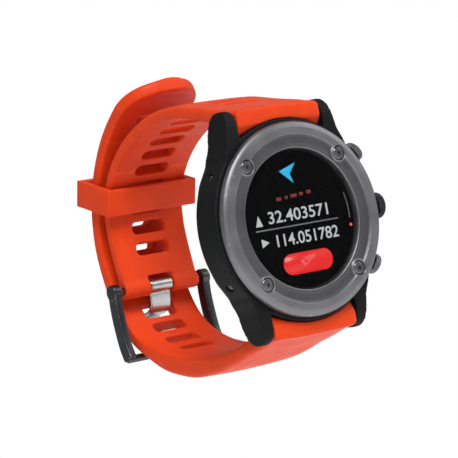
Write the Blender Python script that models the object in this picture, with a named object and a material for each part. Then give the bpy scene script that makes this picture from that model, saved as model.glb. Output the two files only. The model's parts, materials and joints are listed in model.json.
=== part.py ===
"""A round GPS running watch on a buckled silicone strap, as separate closed solids.

Frame: metres, +X to 3 o'clock, +Z to 12 o'clock, -Y out of the dial, origin at the
centre of the case back's outer face. Heights through the case are Y values: the case
back is at 0 and the front is negative.
"""
import math

import bmesh
import bpy
import numpy as np
from mathutils import Matrix, Vector

MM = 0.001

# ---------------------------------------------------------------- driving sizes
GAP = 0.3 * MM                       # clearance between pieces that touch
BEZEL_RADIUS = 24.0 * MM
BEZEL_BASE_Y = -12.3 * MM
BEZEL_EDGE_Y = -13.3 * MM
BEZEL_TOP_Y = -14.5 * MM
BEZEL_SLOPE_Y = -13.8 * MM           # floor of the sunk ring between the screw bosses
BEZEL_BAND_RADIUS = 20.8 * MM        # where the outer band drops to the sunk ring
DISPLAY_WINDOW_RADIUS = 17.3 * MM
BEZEL_SCREW_RADIUS = 20.3 * MM       # distance of the four bezel screws from the axis
BOSS_RADIUS = 2.4 * MM

CASE_RADIUS = 25.0 * MM
CASE_FRONT_Y = -12.0 * MM
CASE_SIDE_BACK_Y = -4.2 * MM
CAVITY_RADIUS = 21.2 * MM
FLANGE_RADIUS = 16.0 * MM
FLANGE_FRONT_Y = -4.4 * MM
FLANGE_BACK_Y = -2.9 * MM
BACK_PLATE_RADIUS = 20.2 * MM
BACK_PLATE_Y = -2.0 * MM
BACK_SCREW_RADIUS = 18.3 * MM
SENSOR_RADIUS = 6.0 * MM

LUG_INNER_X = 13.2 * MM
LUG_TIP_WIDTH = 2.4 * MM
LUG_TIP_Z = 28.7 * MM
LUG_TAPER = 0.19                     # gain in width per length, away from the tip
LUG_BAR_Y = -7.4 * MM
LUG_BAR_Z = 27.0 * MM
BAR_RADIUS = 0.75 * MM
BAR_HOLE_RADIUS = 0.95 * MM

BUTTON_Y = -9.0 * MM
PUSHER_ANGLE = 31.5                  # degrees above and below 3 o'clock
BUTTON_STEM_RADIUS = 1.5 * MM

STRAP_THICKNESS = 3.4 * MM           # buckle-side strap
TAIL_THICKNESS = 3.8 * MM
LUG_END_REACH = [0.0, 4.6, 12.0, 22.0]         # mm from the front of the strap's lug end
LUG_END_HALF = [4.2, 2.2, 1.9, 1.7]            # half thickness there, buckle-side strap
TAIL_END_REACH = [0.0, 4.6, 15.6, 26.8, 38.8, 50.0, 59.0]
TAIL_END_HALF = [3.9, 2.5, 1.8, 2.2, 2.8, 2.5, 1.9]      # the same for the thicker tail-side strap
STRAP_FRONT_Y = -11.7 * MM
STRAP_END_WIDTH = 25.6 * MM          # between the lugs
STRAP_BUCKLE_WIDTH = 23.4 * MM
STRAP_TAIL_WIDTH = 24.0 * MM
SLOT_WIDTH = 10.0 * MM
SLOT_LENGTH = 3.2 * MM
UPPER_SLOT_PITCH = 5.8 * MM
TAIL_SLOT_PITCH = 6.4 * MM

LOOP_CENTRE = (22.3 * MM, 4.2 * MM)  # (y, z) of the strap's back arc
UPPER_ARC_RADIUS = 30.8 * MM         # middle of the buckle-side strap's thickness
KEEPER_ANGLE = 18.5                  # degrees above +Y, about the loop's centre
KEEPER_LENGTH = 7.0 * MM
KEEPER_HOLE = (27.7 * MM, 39.3 * MM)  # inner and outer distance from the loop's centre
KEEPER_WALL = 1.6 * MM
KEEPER_HALF_WIDTH = 14.0 * MM

BUCKLE_BAR = (51.4 * MM, -10.2 * MM)  # (y, z) of the buckle's spring bar
ARM_INNER_X = 13.2 * MM
ARM_WIDTH = 2.2 * MM
ARM_DEPTH = 3.6 * MM
BUCKLE_END_RADIUS = 1.0 * MM
TANG_WIDTH = 6.6 * MM
TANG_THICKNESS = 1.1 * MM

# Side views as (y, z) points in millimetres, joined by a smooth curve.
UPPER_ROUTE_FRONT = [(-11.6, 24.4), (-7.4, 27.0), (3.0, 29.4), (14.2, 31.7), (25.6, 31.4),
                     (36.4, 27.9), (43.5, 23.6), (48.6, 18.6)]
LOWER_ROUTE_FRONT = [(-11.6, 24.4), (-7.4, 26.4), (3.0, 29.7), (14.0, 32.0), (26.0, 32.3),
                     (37.0, 30.4), (44.8, 27.0), (50.8, 22.8), (54.9, 17.3), (57.4, 10.0)]
TAIL_ANGLE = [-6.0, 7.0, 17.0, 27.0, 38.0, 47.0, 56.0, 65.0, 72.0, 78.5]   # degrees above +Y
TAIL_RADIUS = [37.1, 36.6, 36.2, 35.9, 35.7, 35.7, 35.8, 36.2, 36.5, 36.6]
ARM_ROUTE = [(51.4, -10.2), (51.6, -15.0), (51.3, -19.5), (50.7, -23.8), (49.9, -26.6),
             (49.4, -27.8)]
TANG_ROUTE = [(51.9, -11.4), (52.2, -14.0), (53.0, -16.3), (55.0, -17.3), (57.6, -17.9),
              (58.8, -19.8), (58.0, -23.2), (55.2, -26.6), (51.8, -29.0), (50.0, -29.9)]


# ---------------------------------------------------------------- helpers
def clear_scene():
    """Remove every object and mesh already in the file."""
    for obj in list(bpy.data.objects):
        bpy.data.objects.remove(obj, do_unlink=True)
    for mesh in list(bpy.data.meshes):
        bpy.data.meshes.remove(mesh)


def material(name, colour, roughness, metallic=0.0):
    """A Principled material, made once and shared."""
    found = bpy.data.materials.get(name)
    if found:
        return found
    made = bpy.data.materials.new(name)
    made.use_nodes = True
    shader = made.node_tree.nodes["Principled BSDF"]
    shader.inputs["Base Color"].default_value = (*colour, 1.0)
    shader.inputs["Roughness"].default_value = roughness
    shader.inputs["Metallic"].default_value = metallic
    made.diffuse_color = (*colour, 1.0)
    return made


def object_from_bmesh(name, bm, look=None, angle=35.0):
    """Turn a bmesh into a linked, smooth-shaded object whose faces point out."""
    bmesh.ops.remove_doubles(bm, verts=bm.verts, dist=1e-7)
    bmesh.ops.recalc_face_normals(bm, faces=bm.faces)
    mesh = bpy.data.meshes.new(name)
    bm.to_mesh(mesh)
    bm.free()
    mesh.shade_smooth()
    mesh.set_sharp_from_angle(angle=math.radians(angle))
    obj = bpy.data.objects.new(name, mesh)
    bpy.context.scene.collection.objects.link(obj)
    if look:
        mesh.materials.append(look)
    return obj


def turned(name, profile, look=None, steps=64):
    """Turn a closed (radius, y) profile about the Y axis; radius 0 points lie on it."""
    bm = bmesh.new()
    rings = []
    for radius, y in profile:
        if radius < 1e-9:
            rings.append([bm.verts.new((0.0, y, 0.0))])
            continue
        ring = []
        for step in range(steps):
            angle = 2.0 * math.pi * step / steps
            ring.append(bm.verts.new((radius * math.cos(angle), y, radius * math.sin(angle))))
        rings.append(ring)
    closed = all(len(ring) > 1 for ring in rings)
    count = len(rings) if closed else len(rings) - 1
    for index in range(count):
        first = rings[index]
        second = rings[(index + 1) % len(rings)]
        for step in range(steps):
            nxt = (step + 1) % steps
            corners = [first[step % len(first)], first[nxt % len(first)],
                       second[nxt % len(second)], second[step % len(second)]]
            unique = list(dict.fromkeys(corners))
            if len(unique) > 2:
                bm.faces.new(unique)
    return object_from_bmesh(name, bm, look)


def disc(name, radius, y_front, y_back, look=None, steps=40, chamfer=0.0):
    """A solid disc about the Y axis, optionally with a chamfered front edge."""
    profile = [(0.0, y_front), (radius - chamfer, y_front)]
    if chamfer:
        profile.append((radius, y_front + chamfer))
    profile += [(radius, y_back), (0.0, y_back)]
    return turned(name, profile, look, steps)


def ring(name, inner, outer, y_front, y_back, look=None, steps=40):
    """A flat ring about the Y axis."""
    profile = [(outer, y_front), (outer, y_back), (inner, y_back), (inner, y_front)]
    return turned(name, profile, look, steps)


def box(name, low, high, look=None, bevel=0.0):
    """An axis-aligned block with optional bevelled edges."""
    bm = bmesh.new()
    bmesh.ops.create_cube(bm, size=1.0)
    low, high = Vector(low), Vector(high)
    for vert in bm.verts:
        vert.co = low + Vector([(vert.co[i] + 0.5) * (high[i] - low[i]) for i in range(3)])
    if bevel:
        bmesh.ops.bevel(bm, geom=bm.edges[:], offset=bevel, segments=1, affect="EDGES")
    return object_from_bmesh(name, bm, look)


def rod(name, radius, start, end, look=None, steps=16, chamfer=0.0):
    """A cylinder between two points, optionally chamfered at both ends."""
    start, end = Vector(start), Vector(end)
    length = (end - start).length
    profile = [(0.0, 0.0), (radius - chamfer, 0.0)]
    if chamfer:
        profile += [(radius, chamfer), (radius, length - chamfer)]
    else:
        profile.append((radius, length))
    if chamfer:
        profile.append((radius - chamfer, length))
    profile.append((0.0, length))
    made = turned(name, profile, look, steps)
    turn = Vector((0.0, 1.0, 0.0)).rotation_difference(end - start).to_matrix().to_4x4()
    made.data.transform(Matrix.Translation(start) @ turn)
    return made


def smooth_path(points, per_span=3):
    """Points along a Catmull-Rom curve through the given (y, z) points."""
    known = np.array(points, dtype=float)
    padded = np.vstack([2 * known[0] - known[1], known, 2 * known[-1] - known[-2]])
    path = []
    for i in range(1, len(padded) - 2):
        a, b, c, d = padded[i - 1:i + 3]
        for step in range(per_span):
            t = step / per_span
            path.append(0.5 * (2 * b + (c - a) * t + (2 * a - 5 * b + 4 * c - d) * t ** 2
                               + (3 * b - 3 * c + d - a) * t ** 3))
    path.append(known[-1])
    return np.array(path)


def arc(centre, radius, first, last, steps):
    """(y, z) points on an arc, with angles in degrees above +Y."""
    angles = np.radians(np.linspace(first, last, steps))
    return np.column_stack([centre[0] + radius * np.cos(angles),
                            centre[1] + radius * np.sin(angles)])


def path_frames(path):
    """Arc length and left-hand normal at each point of a (y, z) path."""
    tangent = np.gradient(path, axis=0)
    tangent /= np.linalg.norm(tangent, axis=1)[:, None]
    normal = np.column_stack([-tangent[:, 1], tangent[:, 0]])
    steps = np.linalg.norm(np.diff(path, axis=0), axis=1)
    length = np.concatenate([[0.0], np.cumsum(steps)])
    return length, tangent, normal


def band(name, path, half_width, half_thick, look=None, corner=0.28, centre_x=0.0):
    """Loft a chamfered rectangle along a (y, z) path; sizes are functions of length 0-1."""
    length, _, normal = path_frames(path)
    bm = bmesh.new()
    sections = []
    for point, side, s in zip(path, normal, length / length[-1]):
        w, t = half_width(s), half_thick(s)
        cut = corner * t
        outline = [(-w, t - cut), (-w + cut, t), (w - cut, t), (w, t - cut),
                   (w, cut - t), (w - cut, -t), (-w + cut, -t), (-w, cut - t)]
        section = []
        for x, depth in outline:
            y, z = point + side * depth
            section.append(bm.verts.new((x + centre_x, y, z)))
        sections.append(section)
    for first, second in zip(sections, sections[1:]):
        for i in range(8):
            j = (i + 1) % 8
            bm.faces.new((first[i], first[j], second[j], second[i]))
    bm.faces.new(sections[0])
    bm.faces.new(sections[-1])
    return object_from_bmesh(name, bm, look)


def combine(target, others, operation):
    """Apply an exact Boolean with each of the other objects, then delete them."""
    for other in others:
        other.hide_render = True
        other.display_type = "WIRE"
        cut = target.modifiers.new(operation.lower(), "BOOLEAN")
        cut.operation = operation
        cut.solver = "EXACT"
        cut.object = other
    bpy.context.view_layer.update()
    evaluated = target.evaluated_get(bpy.context.evaluated_depsgraph_get())
    mesh = bpy.data.meshes.new_from_object(evaluated)
    mesh.name = target.name
    target.modifiers.clear()
    target.data = mesh
    for other in others:
        bpy.data.objects.remove(other, do_unlink=True)
    mesh.shade_smooth()
    mesh.set_sharp_from_angle(angle=math.radians(35.0))
    return target


def cut(target, cutters):
    return combine(target, cutters, "DIFFERENCE")


def join(target, others):
    return combine(target, others, "UNION")


def ring_points(radius, start_deg, count):
    """(x, z) points evenly round the dial axis."""
    angles = [math.radians(start_deg + 360.0 * i / count) for i in range(count)]
    return [(radius * math.cos(a), radius * math.sin(a)) for a in angles]


def set_origin(obj, point):
    """Move the object's origin without moving its mesh in the world."""
    obj.data.transform(Matrix.Translation(-Vector(point)))
    obj.location = point


# ---------------------------------------------------------------- looks
BLACK_CASE = material("case_black", (0.020, 0.021, 0.023), 0.55)
GREY_METAL = material("bezel_grey", (0.19, 0.19, 0.20), 0.40, 0.9)
DARK_STEEL = material("dark_steel", (0.07, 0.075, 0.08), 0.35, 0.9)
BRIGHT_STEEL = material("bright_steel", (0.55, 0.55, 0.56), 0.28, 1.0)
SCREW_STEEL = material("screw_steel", (0.22, 0.22, 0.23), 0.32, 0.9)
ORANGE_SILICONE = material("orange_silicone", (0.86, 0.085, 0.012), 0.55)
GLASS = material("cover_glass", (0.02, 0.02, 0.022), 0.05)
DISPLAY = material("display", (0.008, 0.008, 0.010), 0.2)
SEAL = material("seal_rubber", (0.012, 0.012, 0.012), 0.7)
BOARD = material("board_green", (0.01, 0.10, 0.05), 0.5)
CELL = material("battery_foil", (0.45, 0.46, 0.48), 0.4, 0.6)
CERAMIC = material("antenna_ceramic", (0.62, 0.58, 0.48), 0.6)
GOLD = material("contact_gold", (0.75, 0.55, 0.20), 0.3, 1.0)


# ---------------------------------------------------------------- case and bezel
def metres(points):
    return [(y * MM, z * MM) for y, z in points]


def lug(name, side, end):
    """One lug: a side profile with a rounded tip, extruded along X and narrower at the tip."""
    outline = [(-12.0, 15.0), (-12.0, 21.0), (-11.9, 24.6), (-11.2, 27.0), (-9.4, 28.4),
               (-7.4, 28.7), (-5.4, 28.3), (-3.9, 26.6), (-3.4, 24.0), (-3.4, 19.0),
               (-3.6, 15.0)]
    bm = bmesh.new()
    inner = []
    outer = []
    for y, z in metres(outline):
        far = LUG_INNER_X + LUG_TIP_WIDTH + (LUG_TIP_Z - z) * LUG_TAPER
        inner.append(bm.verts.new((side * LUG_INNER_X, y, end * z)))
        outer.append(bm.verts.new((side * far, y, end * z)))
    bm.faces.new(inner)
    outer_face = bm.faces.new(outer)
    for i in range(len(outline)):
        j = (i + 1) % len(outline)
        bm.faces.new((inner[i], inner[j], outer[j], outer[i]))
    bmesh.ops.bevel(bm, geom=list(outer_face.edges), offset=0.7 * MM, segments=1,
                    affect="EDGES")
    return object_from_bmesh(name, bm, BLACK_CASE)


def button_direction(degrees):
    angle = math.radians(degrees)
    return Vector((math.cos(angle), 0.0, math.sin(angle)))


def build_mid_case():
    """The hollow black body, with four lugs, screw bosses, and its drilled holes."""
    r = CASE_RADIUS
    profile = [(r - 0.5 * MM, CASE_FRONT_Y), (r, CASE_FRONT_Y + 0.5 * MM), (r, CASE_SIDE_BACK_Y),
               (r - 1.0 * MM, -2.9 * MM), (21.8 * MM, -0.9 * MM), (20.6 * MM, -0.9 * MM),
               (20.6 * MM, FLANGE_BACK_Y), (FLANGE_RADIUS, FLANGE_BACK_Y),
               (FLANGE_RADIUS, FLANGE_FRONT_Y), (CAVITY_RADIUS, FLANGE_FRONT_Y),
               (CAVITY_RADIUS, CASE_FRONT_Y)]
    body = turned("mid_case", profile, BLACK_CASE, 48)
    added = [lug("lug", side, end) for side in (-1, 1) for end in (-1, 1)]
    for x, z in ring_points(BEZEL_SCREW_RADIUS, 45, 4):
        added.append(rod("boss", BOSS_RADIUS, (x, CASE_FRONT_Y, z), (x, FLANGE_FRONT_Y + 0.5 * MM, z)))
    join(body, added)
    cutters = []
    for x, z in ring_points(BEZEL_SCREW_RADIUS, 45, 4):
        cutters.append(rod("hole", 1.05 * MM, (x, CASE_FRONT_Y - MM, z), (x, -8.0 * MM, z), steps=12))
    for x, z in ring_points(BACK_SCREW_RADIUS, 15, 4):
        cutters.append(rod("hole", 1.0 * MM, (x, FLANGE_BACK_Y + MM, z), (x, -5.2 * MM, z), steps=12))
    for degrees in (PUSHER_ANGLE, 0.0, -PUSHER_ANGLE):
        out = button_direction(degrees)
        middle = Vector((0.0, BUTTON_Y, 0.0))
        cutters.append(rod("hole", BUTTON_STEM_RADIUS + GAP, middle + out * 19 * MM,
                           middle + out * 27 * MM))
    for degrees in (180.0 - 33.0, 180.0 + 33.0):
        out = button_direction(degrees)
        middle = Vector((0.0, LUG_BAR_Y, 0.0))
        cutters.append(rod("hole", 1.0 * MM, middle + out * 23 * MM, middle + out * 26 * MM, steps=12))
    reach = LUG_INNER_X + 1.8 * MM
    for end in (-1, 1):
        cutters.append(rod("hole", BAR_HOLE_RADIUS, (-reach, LUG_BAR_Y, end * LUG_BAR_Z),
                           (reach, LUG_BAR_Y, end * LUG_BAR_Z), steps=12))
    return cut(body, cutters)


def build_bezel():
    """A turned ring: outer band, sunk ring, four raised screw bosses with counterbores."""
    profile = [(BEZEL_RADIUS, BEZEL_EDGE_Y), (BEZEL_RADIUS, BEZEL_BASE_Y),
               (DISPLAY_WINDOW_RADIUS, BEZEL_BASE_Y), (DISPLAY_WINDOW_RADIUS, -13.6 * MM),
               (17.7 * MM, -13.9 * MM), (18.2 * MM, BEZEL_SLOPE_Y),
               (20.2 * MM, BEZEL_SLOPE_Y - 0.1 * MM), (BEZEL_BAND_RADIUS, BEZEL_TOP_Y),
               (22.6 * MM, -14.35 * MM), (23.4 * MM, -14.1 * MM)]
    bezel = turned("bezel", profile, GREY_METAL, 48)
    bosses = []
    cutters = []
    for x, z in ring_points(BEZEL_SCREW_RADIUS, 45, 4):
        bosses.append(rod("boss", BOSS_RADIUS, (x, -14.3 * MM, z), (x, -13.0 * MM, z), steps=16))
        cutters.append(rod("hole", 1.7 * MM, (x, -16 * MM, z), (x, -13.4 * MM, z), steps=12))
        cutters.append(rod("hole", 1.05 * MM, (x, -13.6 * MM, z), (x, -11 * MM, z), steps=12))
    return cut(join(bezel, bosses), cutters)


def build_screws():
    """Bezel, case back and side screws, each with a head, a shank and a drive socket."""
    for i, (x, z) in enumerate(ring_points(BEZEL_SCREW_RADIUS, 45, 4), 1):
        head = rod(f"bezel_screw_{i}", 1.4 * MM, (x, -13.7 * MM, z), (x, -14.25 * MM, z),
                   SCREW_STEEL, 10, 0.15 * MM)
        shank = rod("shank", 0.75 * MM, (x, -13.8 * MM, z), (x, -8.6 * MM, z), steps=8)
        socket = rod("socket", 0.65 * MM, (x, -15 * MM, z), (x, -13.85 * MM, z), steps=6)
        cut(join(head, [shank]), [socket])
    for i, (x, z) in enumerate(ring_points(BACK_SCREW_RADIUS, 15, 4), 1):
        head = rod(f"case_back_screw_{i}", 1.35 * MM, (x, -0.8 * MM, z), (x, -0.15 * MM, z),
                   SCREW_STEEL, 10, 0.15 * MM)
        shank = rod("shank", 0.7 * MM, (x, -0.7 * MM, z), (x, -4.7 * MM, z), steps=8)
        socket = rod("socket", 0.6 * MM, (x, -0.55 * MM, z), (x, 1 * MM, z), steps=6)
        cut(join(head, [shank]), [socket])
    for word, degrees in (("upper", 180.0 - 33.0), ("lower", 180.0 + 33.0)):
        out = button_direction(degrees)
        middle = Vector((0.0, LUG_BAR_Y, 0.0))
        plug = rod(f"side_screw_{word}", 0.7 * MM, middle + out * 23.3 * MM,
                   middle + out * 24.6 * MM, SCREW_STEEL, 12, 0.1 * MM)
        cut(plug, [rod("socket", 0.3 * MM, middle + out * 24.2 * MM, middle + out * 26 * MM, steps=6)])


def build_back():
    """The case back, its seal, the optical sensor and the charging contacts."""
    plate = disc("case_back", BACK_PLATE_RADIUS, BACK_PLATE_Y, 0.0, DARK_STEEL, 40)
    cutters = [rod("hole", SENSOR_RADIUS + GAP, (0, -3 * MM, 0), (0, MM, 0), steps=24)]
    for x, z in ring_points(BACK_SCREW_RADIUS, 15, 4):
        cutters.append(rod("hole", 1.65 * MM, (x, -1.1 * MM, z), (x, MM, z), steps=12))
        cutters.append(rod("hole", 1.0 * MM, (x, -3 * MM, z), (x, -0.9 * MM, z), steps=12))
    contact_x = [(-4.5 + 3.0 * i) * MM for i in range(4)]
    contact_z = -11.0 * MM
    for x in contact_x:
        cutters.append(rod("hole", 1.1 * MM, (x, -3 * MM, contact_z), (x, MM, contact_z), steps=8))
    cut(plate, cutters)
    for i, x in enumerate(contact_x, 1):
        rod(f"charge_contact_{i}", 0.8 * MM, (x, -2.6 * MM, contact_z), (x, -0.1 * MM, contact_z),
            GOLD, 10, 0.12 * MM)
    ring("case_back_seal", 16.3 * MM, 17.0 * MM, -2.6 * MM, -2.3 * MM, SEAL)
    disc("sensor_window", SENSOR_RADIUS, -1.9 * MM, 0.0, GLASS, 32)
    disc("sensor_board", 6.6 * MM, -3.4 * MM, -2.6 * MM, BOARD, 24)


def build_inside():
    """Glass, gasket, display, main board and what is mounted on it."""
    disc("cover_glass", DISPLAY_WINDOW_RADIUS - GAP, -13.5 * MM, -12.4 * MM, GLASS, 40, 0.2 * MM)
    ring("glass_gasket", 15.6 * MM, 17.6 * MM, -12.1 * MM, -11.7 * MM, SEAL)
    disc("display_panel", 17.2 * MM, -11.4 * MM, -10.0 * MM, DISPLAY, 48)
    board = disc("main_board", 17.4 * MM, -9.6 * MM, -8.8 * MM, BOARD, 40)
    chips = [box("chip", (-5 * MM, -9.0 * MM, 11.6 * MM), (-9 * MM, -7.9 * MM, 15.0 * MM)),
             box("chip", (7 * MM, -9.0 * MM, -13.5 * MM), (11 * MM, -7.8 * MM, -10.0 * MM)),
             box("chip", (-12 * MM, -9.0 * MM, -13 * MM), (-8 * MM, -8.0 * MM, -9.5 * MM))]
    join(board, chips)
    box("battery", (-12 * MM, -7.6 * MM, -7.5 * MM), (12 * MM, -4.0 * MM, 9.8 * MM), CELL, 0.8 * MM)
    disc("vibration_motor", 3.8 * MM, -7.6 * MM, -5.0 * MM, BRIGHT_STEEL, 28, 0.2 * MM)
    bpy.data.objects["vibration_motor"].location = (0.0, 0.0, -12.3 * MM)
    box("gps_antenna", (-3 * MM, -8.4 * MM, 10.6 * MM), (7 * MM, -5.0 * MM, 15.2 * MM), CERAMIC,
        0.2 * MM)


# ---------------------------------------------------------------- buttons
def build_button(name, degrees, cap_radius, cap_start, cap_end, look, number):
    """A plunger on its own radial axis, its shaft seal, and the switch behind it."""
    out = button_direction(degrees)
    middle = Vector((0.0, BUTTON_Y, 0.0))
    cap = rod(name, cap_radius, middle + out * cap_start, middle + out * cap_end, look, 20, 0.45 * MM)
    stem = rod("stem", BUTTON_STEM_RADIUS, middle + out * 21.0 * MM,
               middle + out * (cap_start + 0.2 * MM), steps=14)
    groove = turned("groove", [(2.2 * MM, -0.35 * MM), (2.2 * MM, 0.35 * MM), (1.1 * MM, 0.35 * MM),
                               (1.1 * MM, -0.35 * MM)], None, 12)
    turn = Vector((0.0, 1.0, 0.0)).rotation_difference(out).to_matrix().to_4x4()
    groove.data.transform(Matrix.Translation(middle + out * 23.0 * MM) @ turn)
    cut(join(cap, [stem]), [groove])
    set_origin(cap, middle + out * cap_start)
    seal = turned(f"button_seal_{number}", [(1.62 * MM, -0.2 * MM), (1.62 * MM, 0.2 * MM),
                                            (1.3 * MM, 0.2 * MM), (1.3 * MM, -0.2 * MM)], SEAL, 14)
    seal.data.transform(Matrix.Translation(middle + out * 23.0 * MM) @ turn)
    switch = box(f"tact_switch_{number}", (-0.9 * MM, -0.9 * MM, -1.7 * MM),
                 (0.8 * MM, 0.9 * MM, 1.7 * MM), DARK_STEEL, 0.15 * MM)
    plunger = rod("plunger", 0.6 * MM, (0.7 * MM, 0.0, 0.0), (1.2 * MM, 0.0, 0.0), steps=10)
    join(switch, [plunger])
    spin = Matrix.Rotation(-math.radians(degrees), 4, "Y")
    switch.data.transform(Matrix.Translation(middle + out * 18.8 * MM) @ spin)


def build_buttons():
    build_button("pusher_upper", PUSHER_ANGLE, 2.6 * MM, 25.9 * MM, 27.9 * MM, GREY_METAL, 1)
    build_button("crown_button", 0.0, 3.3 * MM, 25.9 * MM, 28.1 * MM, BLACK_CASE, 2)
    build_button("pusher_lower", -PUSHER_ANGLE, 2.6 * MM, 25.9 * MM, 27.9 * MM, GREY_METAL, 3)


# ---------------------------------------------------------------- strap
def upper_path():
    """Middle line of the buckle-side strap, from the 12 o'clock lugs to its bar."""
    back = arc(LOOP_CENTRE, UPPER_ARC_RADIUS, 18.0, -8.0, 4)
    end = [(52.0 * MM, -6.0 * MM), BUCKLE_BAR]
    return smooth_path(metres(UPPER_ROUTE_FRONT) + [tuple(p) for p in back] + end)


def lower_path():
    """Middle line of the tail-side strap, from the 6 o'clock lugs to its rounded tip."""
    front = [(y, -z) for y, z in metres(LOWER_ROUTE_FRONT)]
    back = []
    for degrees, radius in zip(TAIL_ANGLE, TAIL_RADIUS):
        angle = math.radians(degrees)
        back.append((LOOP_CENTRE[0] + radius * MM * math.cos(angle),
                     LOOP_CENTRE[1] + radius * MM * math.sin(angle)))
    return smooth_path(front + back)


def slot_cutter(path, at, length=SLOT_LENGTH):
    """A rounded block through the strap at one place along its path."""
    along, tangent, normal = path_frames(path)
    y = np.interp(at, along, path[:, 0])
    z = np.interp(at, along, path[:, 1])
    ty = np.interp(at, along, tangent[:, 0])
    tz = np.interp(at, along, tangent[:, 1])
    half = 3.4 * MM
    cutter = box("slot", (-SLOT_WIDTH / 2, -length / 2, -half), (SLOT_WIDTH / 2, length / 2, half))
    bm = bmesh.new()
    bm.from_mesh(cutter.data)
    upright = [e for e in bm.edges if abs(e.verts[0].co.z - e.verts[1].co.z) > half]
    bmesh.ops.bevel(bm, geom=upright, offset=1.0 * MM, segments=1, affect="EDGES")
    bm.to_mesh(cutter.data)
    bm.free()
    size = math.hypot(ty, tz)
    spin = Matrix(((1, 0, 0), (0, ty / size, -tz / size), (0, tz / size, ty / size)))
    cutter.data.transform(Matrix.Translation((0.0, y, z)) @ spin.to_4x4())
    return cutter


def end_cutters(end):
    """Clearance for the case barrel and the spring bar, and a flat front face."""
    barrel = turned("barrel", [(0.0, -16 * MM), (CASE_RADIUS + GAP, -16 * MM),
                               (CASE_RADIUS + GAP, 2 * MM), (0.0, 2 * MM)], None, 48)
    bar = rod("bar", BAR_HOLE_RADIUS, (-15 * MM, LUG_BAR_Y, end * LUG_BAR_Z),
              (15 * MM, LUG_BAR_Y, end * LUG_BAR_Z), steps=16)
    front = box("front", (-20 * MM, -20 * MM, end * 30 * MM - 20 * MM),
                (20 * MM, STRAP_FRONT_Y, end * 30 * MM + 20 * MM))
    return [barrel, bar, front]


def half_thickness(distance, reach, half):
    """Half thickness at a distance along a strap: deep at the lugs, then even."""
    return float(np.interp(distance / MM, reach, half)) * MM


def build_upper_strap():
    path = upper_path()
    total = path_frames(path)[0][-1]

    def half_width(s):
        return (STRAP_END_WIDTH + (STRAP_BUCKLE_WIDTH - STRAP_END_WIDTH) * s) / 2

    def half_thick(s):
        return half_thickness(s * total, LUG_END_REACH, LUG_END_HALF)

    strap = band("strap_upper", path, half_width, half_thick, ORANGE_SILICONE)
    barrel = rod("fold", 2.3 * MM, (-STRAP_BUCKLE_WIDTH / 2, *BUCKLE_BAR),
                 (STRAP_BUCKLE_WIDTH / 2, *BUCKLE_BAR), steps=16)
    join(strap, [barrel])
    cutters = end_cutters(1)
    cutters.append(rod("bar", BAR_HOLE_RADIUS, (-15 * MM, *BUCKLE_BAR), (15 * MM, *BUCKLE_BAR),
                       steps=12))
    notch = TANG_WIDTH / 2 + 0.5 * MM
    y, z = BUCKLE_BAR
    cutters.append(box("notch", (-notch, y - 6 * MM, z - 6 * MM), (notch, y + 6 * MM, z + 2.9 * MM)))
    cutters += [slot_cutter(path, total - 9.9 * MM - i * UPPER_SLOT_PITCH) for i in range(13)]
    return cut(strap, cutters)


def build_lower_strap():
    path = lower_path()
    along = path_frames(path)[0]
    total = along[-1]

    def half_width(s):
        taper = STRAP_END_WIDTH + (STRAP_TAIL_WIDTH - STRAP_END_WIDTH) * min(1.0, s / 0.45)
        left = (1.0 - s) * total
        reach = 11.0 * MM
        if left >= reach:
            return taper / 2
        across = math.sqrt(max(0.0, 1.0 - (1.0 - left / reach) ** 2))
        return taper / 2 * max(0.32, across)

    def half_thick(s):
        return half_thickness(s * total, TAIL_END_REACH, TAIL_END_HALF)

    strap = band("strap_lower", path, half_width, half_thick, ORANGE_SILICONE)
    tang_at = along[np.argmin(np.hypot(path[:, 0] - 54.9 * MM, path[:, 1] + 17.3 * MM))]
    cutters = end_cutters(-1)
    cutters += [slot_cutter(path, tang_at + i * TAIL_SLOT_PITCH,
                            SLOT_LENGTH + 1.2 * MM * (i == 0)) for i in range(-3, 10)]
    return cut(strap, cutters)


def build_keeper():
    """A straight rectangular band round both straps, loose enough to slide along them."""
    inner, outer = KEEPER_HOLE
    angle = math.radians(KEEPER_ANGLE)
    radial = np.array([math.cos(angle), math.sin(angle)])
    tangent = np.array([-radial[1], radial[0]])

    def block(name, low, high, half_x, half_length, look=None):
        middle = np.array(LOOP_CENTRE) + radial * (low + high) / 2
        path = np.array([middle - tangent * half_length, middle, middle + tangent * half_length])
        return band(name, path, lambda s: half_x, lambda s: (high - low) / 2, look, 0.12)

    keeper = block("keeper", inner - KEEPER_WALL, outer + KEEPER_WALL, KEEPER_HALF_WIDTH,
                   KEEPER_LENGTH / 2, ORANGE_SILICONE)
    hole = block("hole", inner, outer, KEEPER_HALF_WIDTH - KEEPER_WALL, KEEPER_LENGTH)
    cut(keeper, [hole])
    set_origin(keeper, (0.0, *LOOP_CENTRE))


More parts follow.
